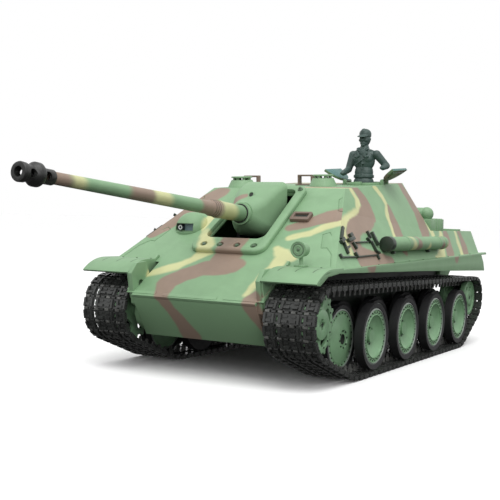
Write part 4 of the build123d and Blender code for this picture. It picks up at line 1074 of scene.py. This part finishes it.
def tube_cap():
    """Domed end of the tube across the engine deck."""
    cap = ball((74.5, 91.5, 130.4), (6.6, 6.6, 6.6), GREEN_PAINT)
    return fitted(smoothed(cap, 60), "tube_cap", "hull", "plain_green")


tube_cap()


def nose_strips():
    """Weld strips where the glacis meets the lower front plate."""
    strips = []
    for low, high, rise in ((-61, -34, 2.2), (-27, 21, 1.6), (27, 61, 2.2)):
        z = NOSE_Z + rise
        y = glacis_y(z)
        strips.append(cube((low, y - 1.6, z - 0.3), (high, y + 1.6, z + 0.3), FRONT_PAINT, ON_GLACIS))
    return fitted(joined("nose_strips", strips), "nose_strips", "hull", "camo_paint")


nose_strips()


def vision_slot():
    """Slot in the driver's hood on the glacis, a thin dark plate of painted shade."""
    x, y, z = on_glacis(43.4, 122.9)
    rise = 1.2               # of the hood's front over the glacis
    y, z = y - rise * math.sin(GLACIS), z + rise * math.cos(GLACIS)
    slot = cube((x - 6.1, y - 2.3, z - 0.15), (x + 6.1, y + 2.3, z + 0.15), PIT_SHADE, ON_GLACIS)
    return fitted(slot, "vision_slot", "hull", "hull_dark")


vision_slot()


def guard_rivets():
    """Small rivets along the running flanges and across the fenders."""
    rivets = []
    for side in (-1, 1):
        for y in range(-150, 190, 34):
            rivets.append(drum((side * 98.5, y, sponson_z(y) + 1.3), 0.75, 0.8, BOLT_GREEN, (0, 0, 0), 8))
        for x in FENDER_GROOVES:
            rivets.append(drum((side * (x - 4.0), -168.0, 86.9), 0.75, 0.8, BOLT_GREEN, (0, 0, 0), 8))
    return fitted(joined("guard_rivets", rivets), "guard_rivets", "hull", "bolt_green")


guard_rivets()


# ------------------------------------------------------------------ stage, light and camera

GROUND_SHADE = (0.10, 0.10, 0.10)    # what the model's underside sees


def studio():
    """White floor, even sky, a broad overhead lamp and a softer one from the front left."""
    bpy.ops.mesh.primitive_plane_add(size=300.0, location=(0, 0, -0.0002))
    floor = bpy.context.object
    floor.name = "studio_floor"
    floor.visible_diffuse = False
    floor.visible_glossy = False
    material = bpy.data.materials.new("studio_floor_white")
    material.use_nodes = True
    shader = material.node_tree.nodes["Principled BSDF"]
    shader.inputs["Base Color"].default_value = (1.0, 1.0, 1.0, 1)
    shader.inputs["Roughness"].default_value = 0.9
    shader.inputs["Specular IOR Level"].default_value = 0.1
    floor.data.materials.append(material)
    world = bpy.data.worlds.new("studio_sky")
    bpy.context.scene.world = world
    world.use_nodes = True
    tree = world.node_tree
    sky = tree.nodes["Background"]
    sky.inputs["Strength"].default_value = 1.0
    height = tree.nodes.new("ShaderNodeSeparateXYZ")
    put(tree, tree.nodes.new("ShaderNodeTexCoord").outputs["Generated"], height.inputs[0])
    lit = stepped(tree, height.outputs[2], -0.03, -0.002)
    put(tree, blended(tree, lit, GROUND_SHADE, (1.0, 1.0, 1.0)), sky.inputs["Color"])
    for name, place, target, size, power in (
        ("overhead_lamp", (0.4, -0.5, 1.6), (0, 0, 0.05), 1.4, 16.0),
        ("front_left_lamp", (1.3, -1.5, 0.9), (0, 0, 0.1), 1.0, 9.0),
    ):
        lamp = bpy.data.lights.new(name, "AREA")
        lamp.size = size
        lamp.energy = power
        holder = bpy.data.objects.new(name, lamp)
        holder.location = place
        holder.rotation_euler = (Vector(target) - Vector(place)).to_track_quat("-Z", "Y").to_euler()
        bpy.context.scene.collection.objects.link(holder)
    bpy.context.scene.view_settings.view_transform = "Standard"
    bpy.context.scene.view_settings.look = "None"


CAMERA_PLACE = (385.08, -772.19, 120.09)
CAMERA_TURNS = (30.44, 1.86, 1.57)      # azimuth, elevation and roll, in degrees
CAMERA_LENS, SENSOR_WIDTH = 67.11, 36.0


def viewpoint():
    """Camera low at the front left, a little rolled."""
    azimuth, elevation, roll = (math.radians(turn) for turn in CAMERA_TURNS)
    data = bpy.data.cameras.new("camera")
    data.lens = CAMERA_LENS
    data.sensor_width = SENSOR_WIDTH
    data.clip_start = 0.01
    camera = bpy.data.objects.new("camera", data)
    back = Vector((math.sin(azimuth) * math.cos(elevation), -math.cos(azimuth) * math.cos(elevation),
                   math.sin(elevation)))
    level = Vector((math.cos(azimuth), math.sin(azimuth), 0))
    upright = back.cross(level)
    right = level * math.cos(roll) + upright * math.sin(roll)
    up = back.cross(right)
    turn = Matrix((right, up, back)).transposed().to_4x4()
    camera.matrix_world = Matrix.Translation(at(*CAMERA_PLACE)) @ turn
    bpy.context.scene.collection.objects.link(camera)
    bpy.context.scene.camera = camera


studio()
viewpoint()
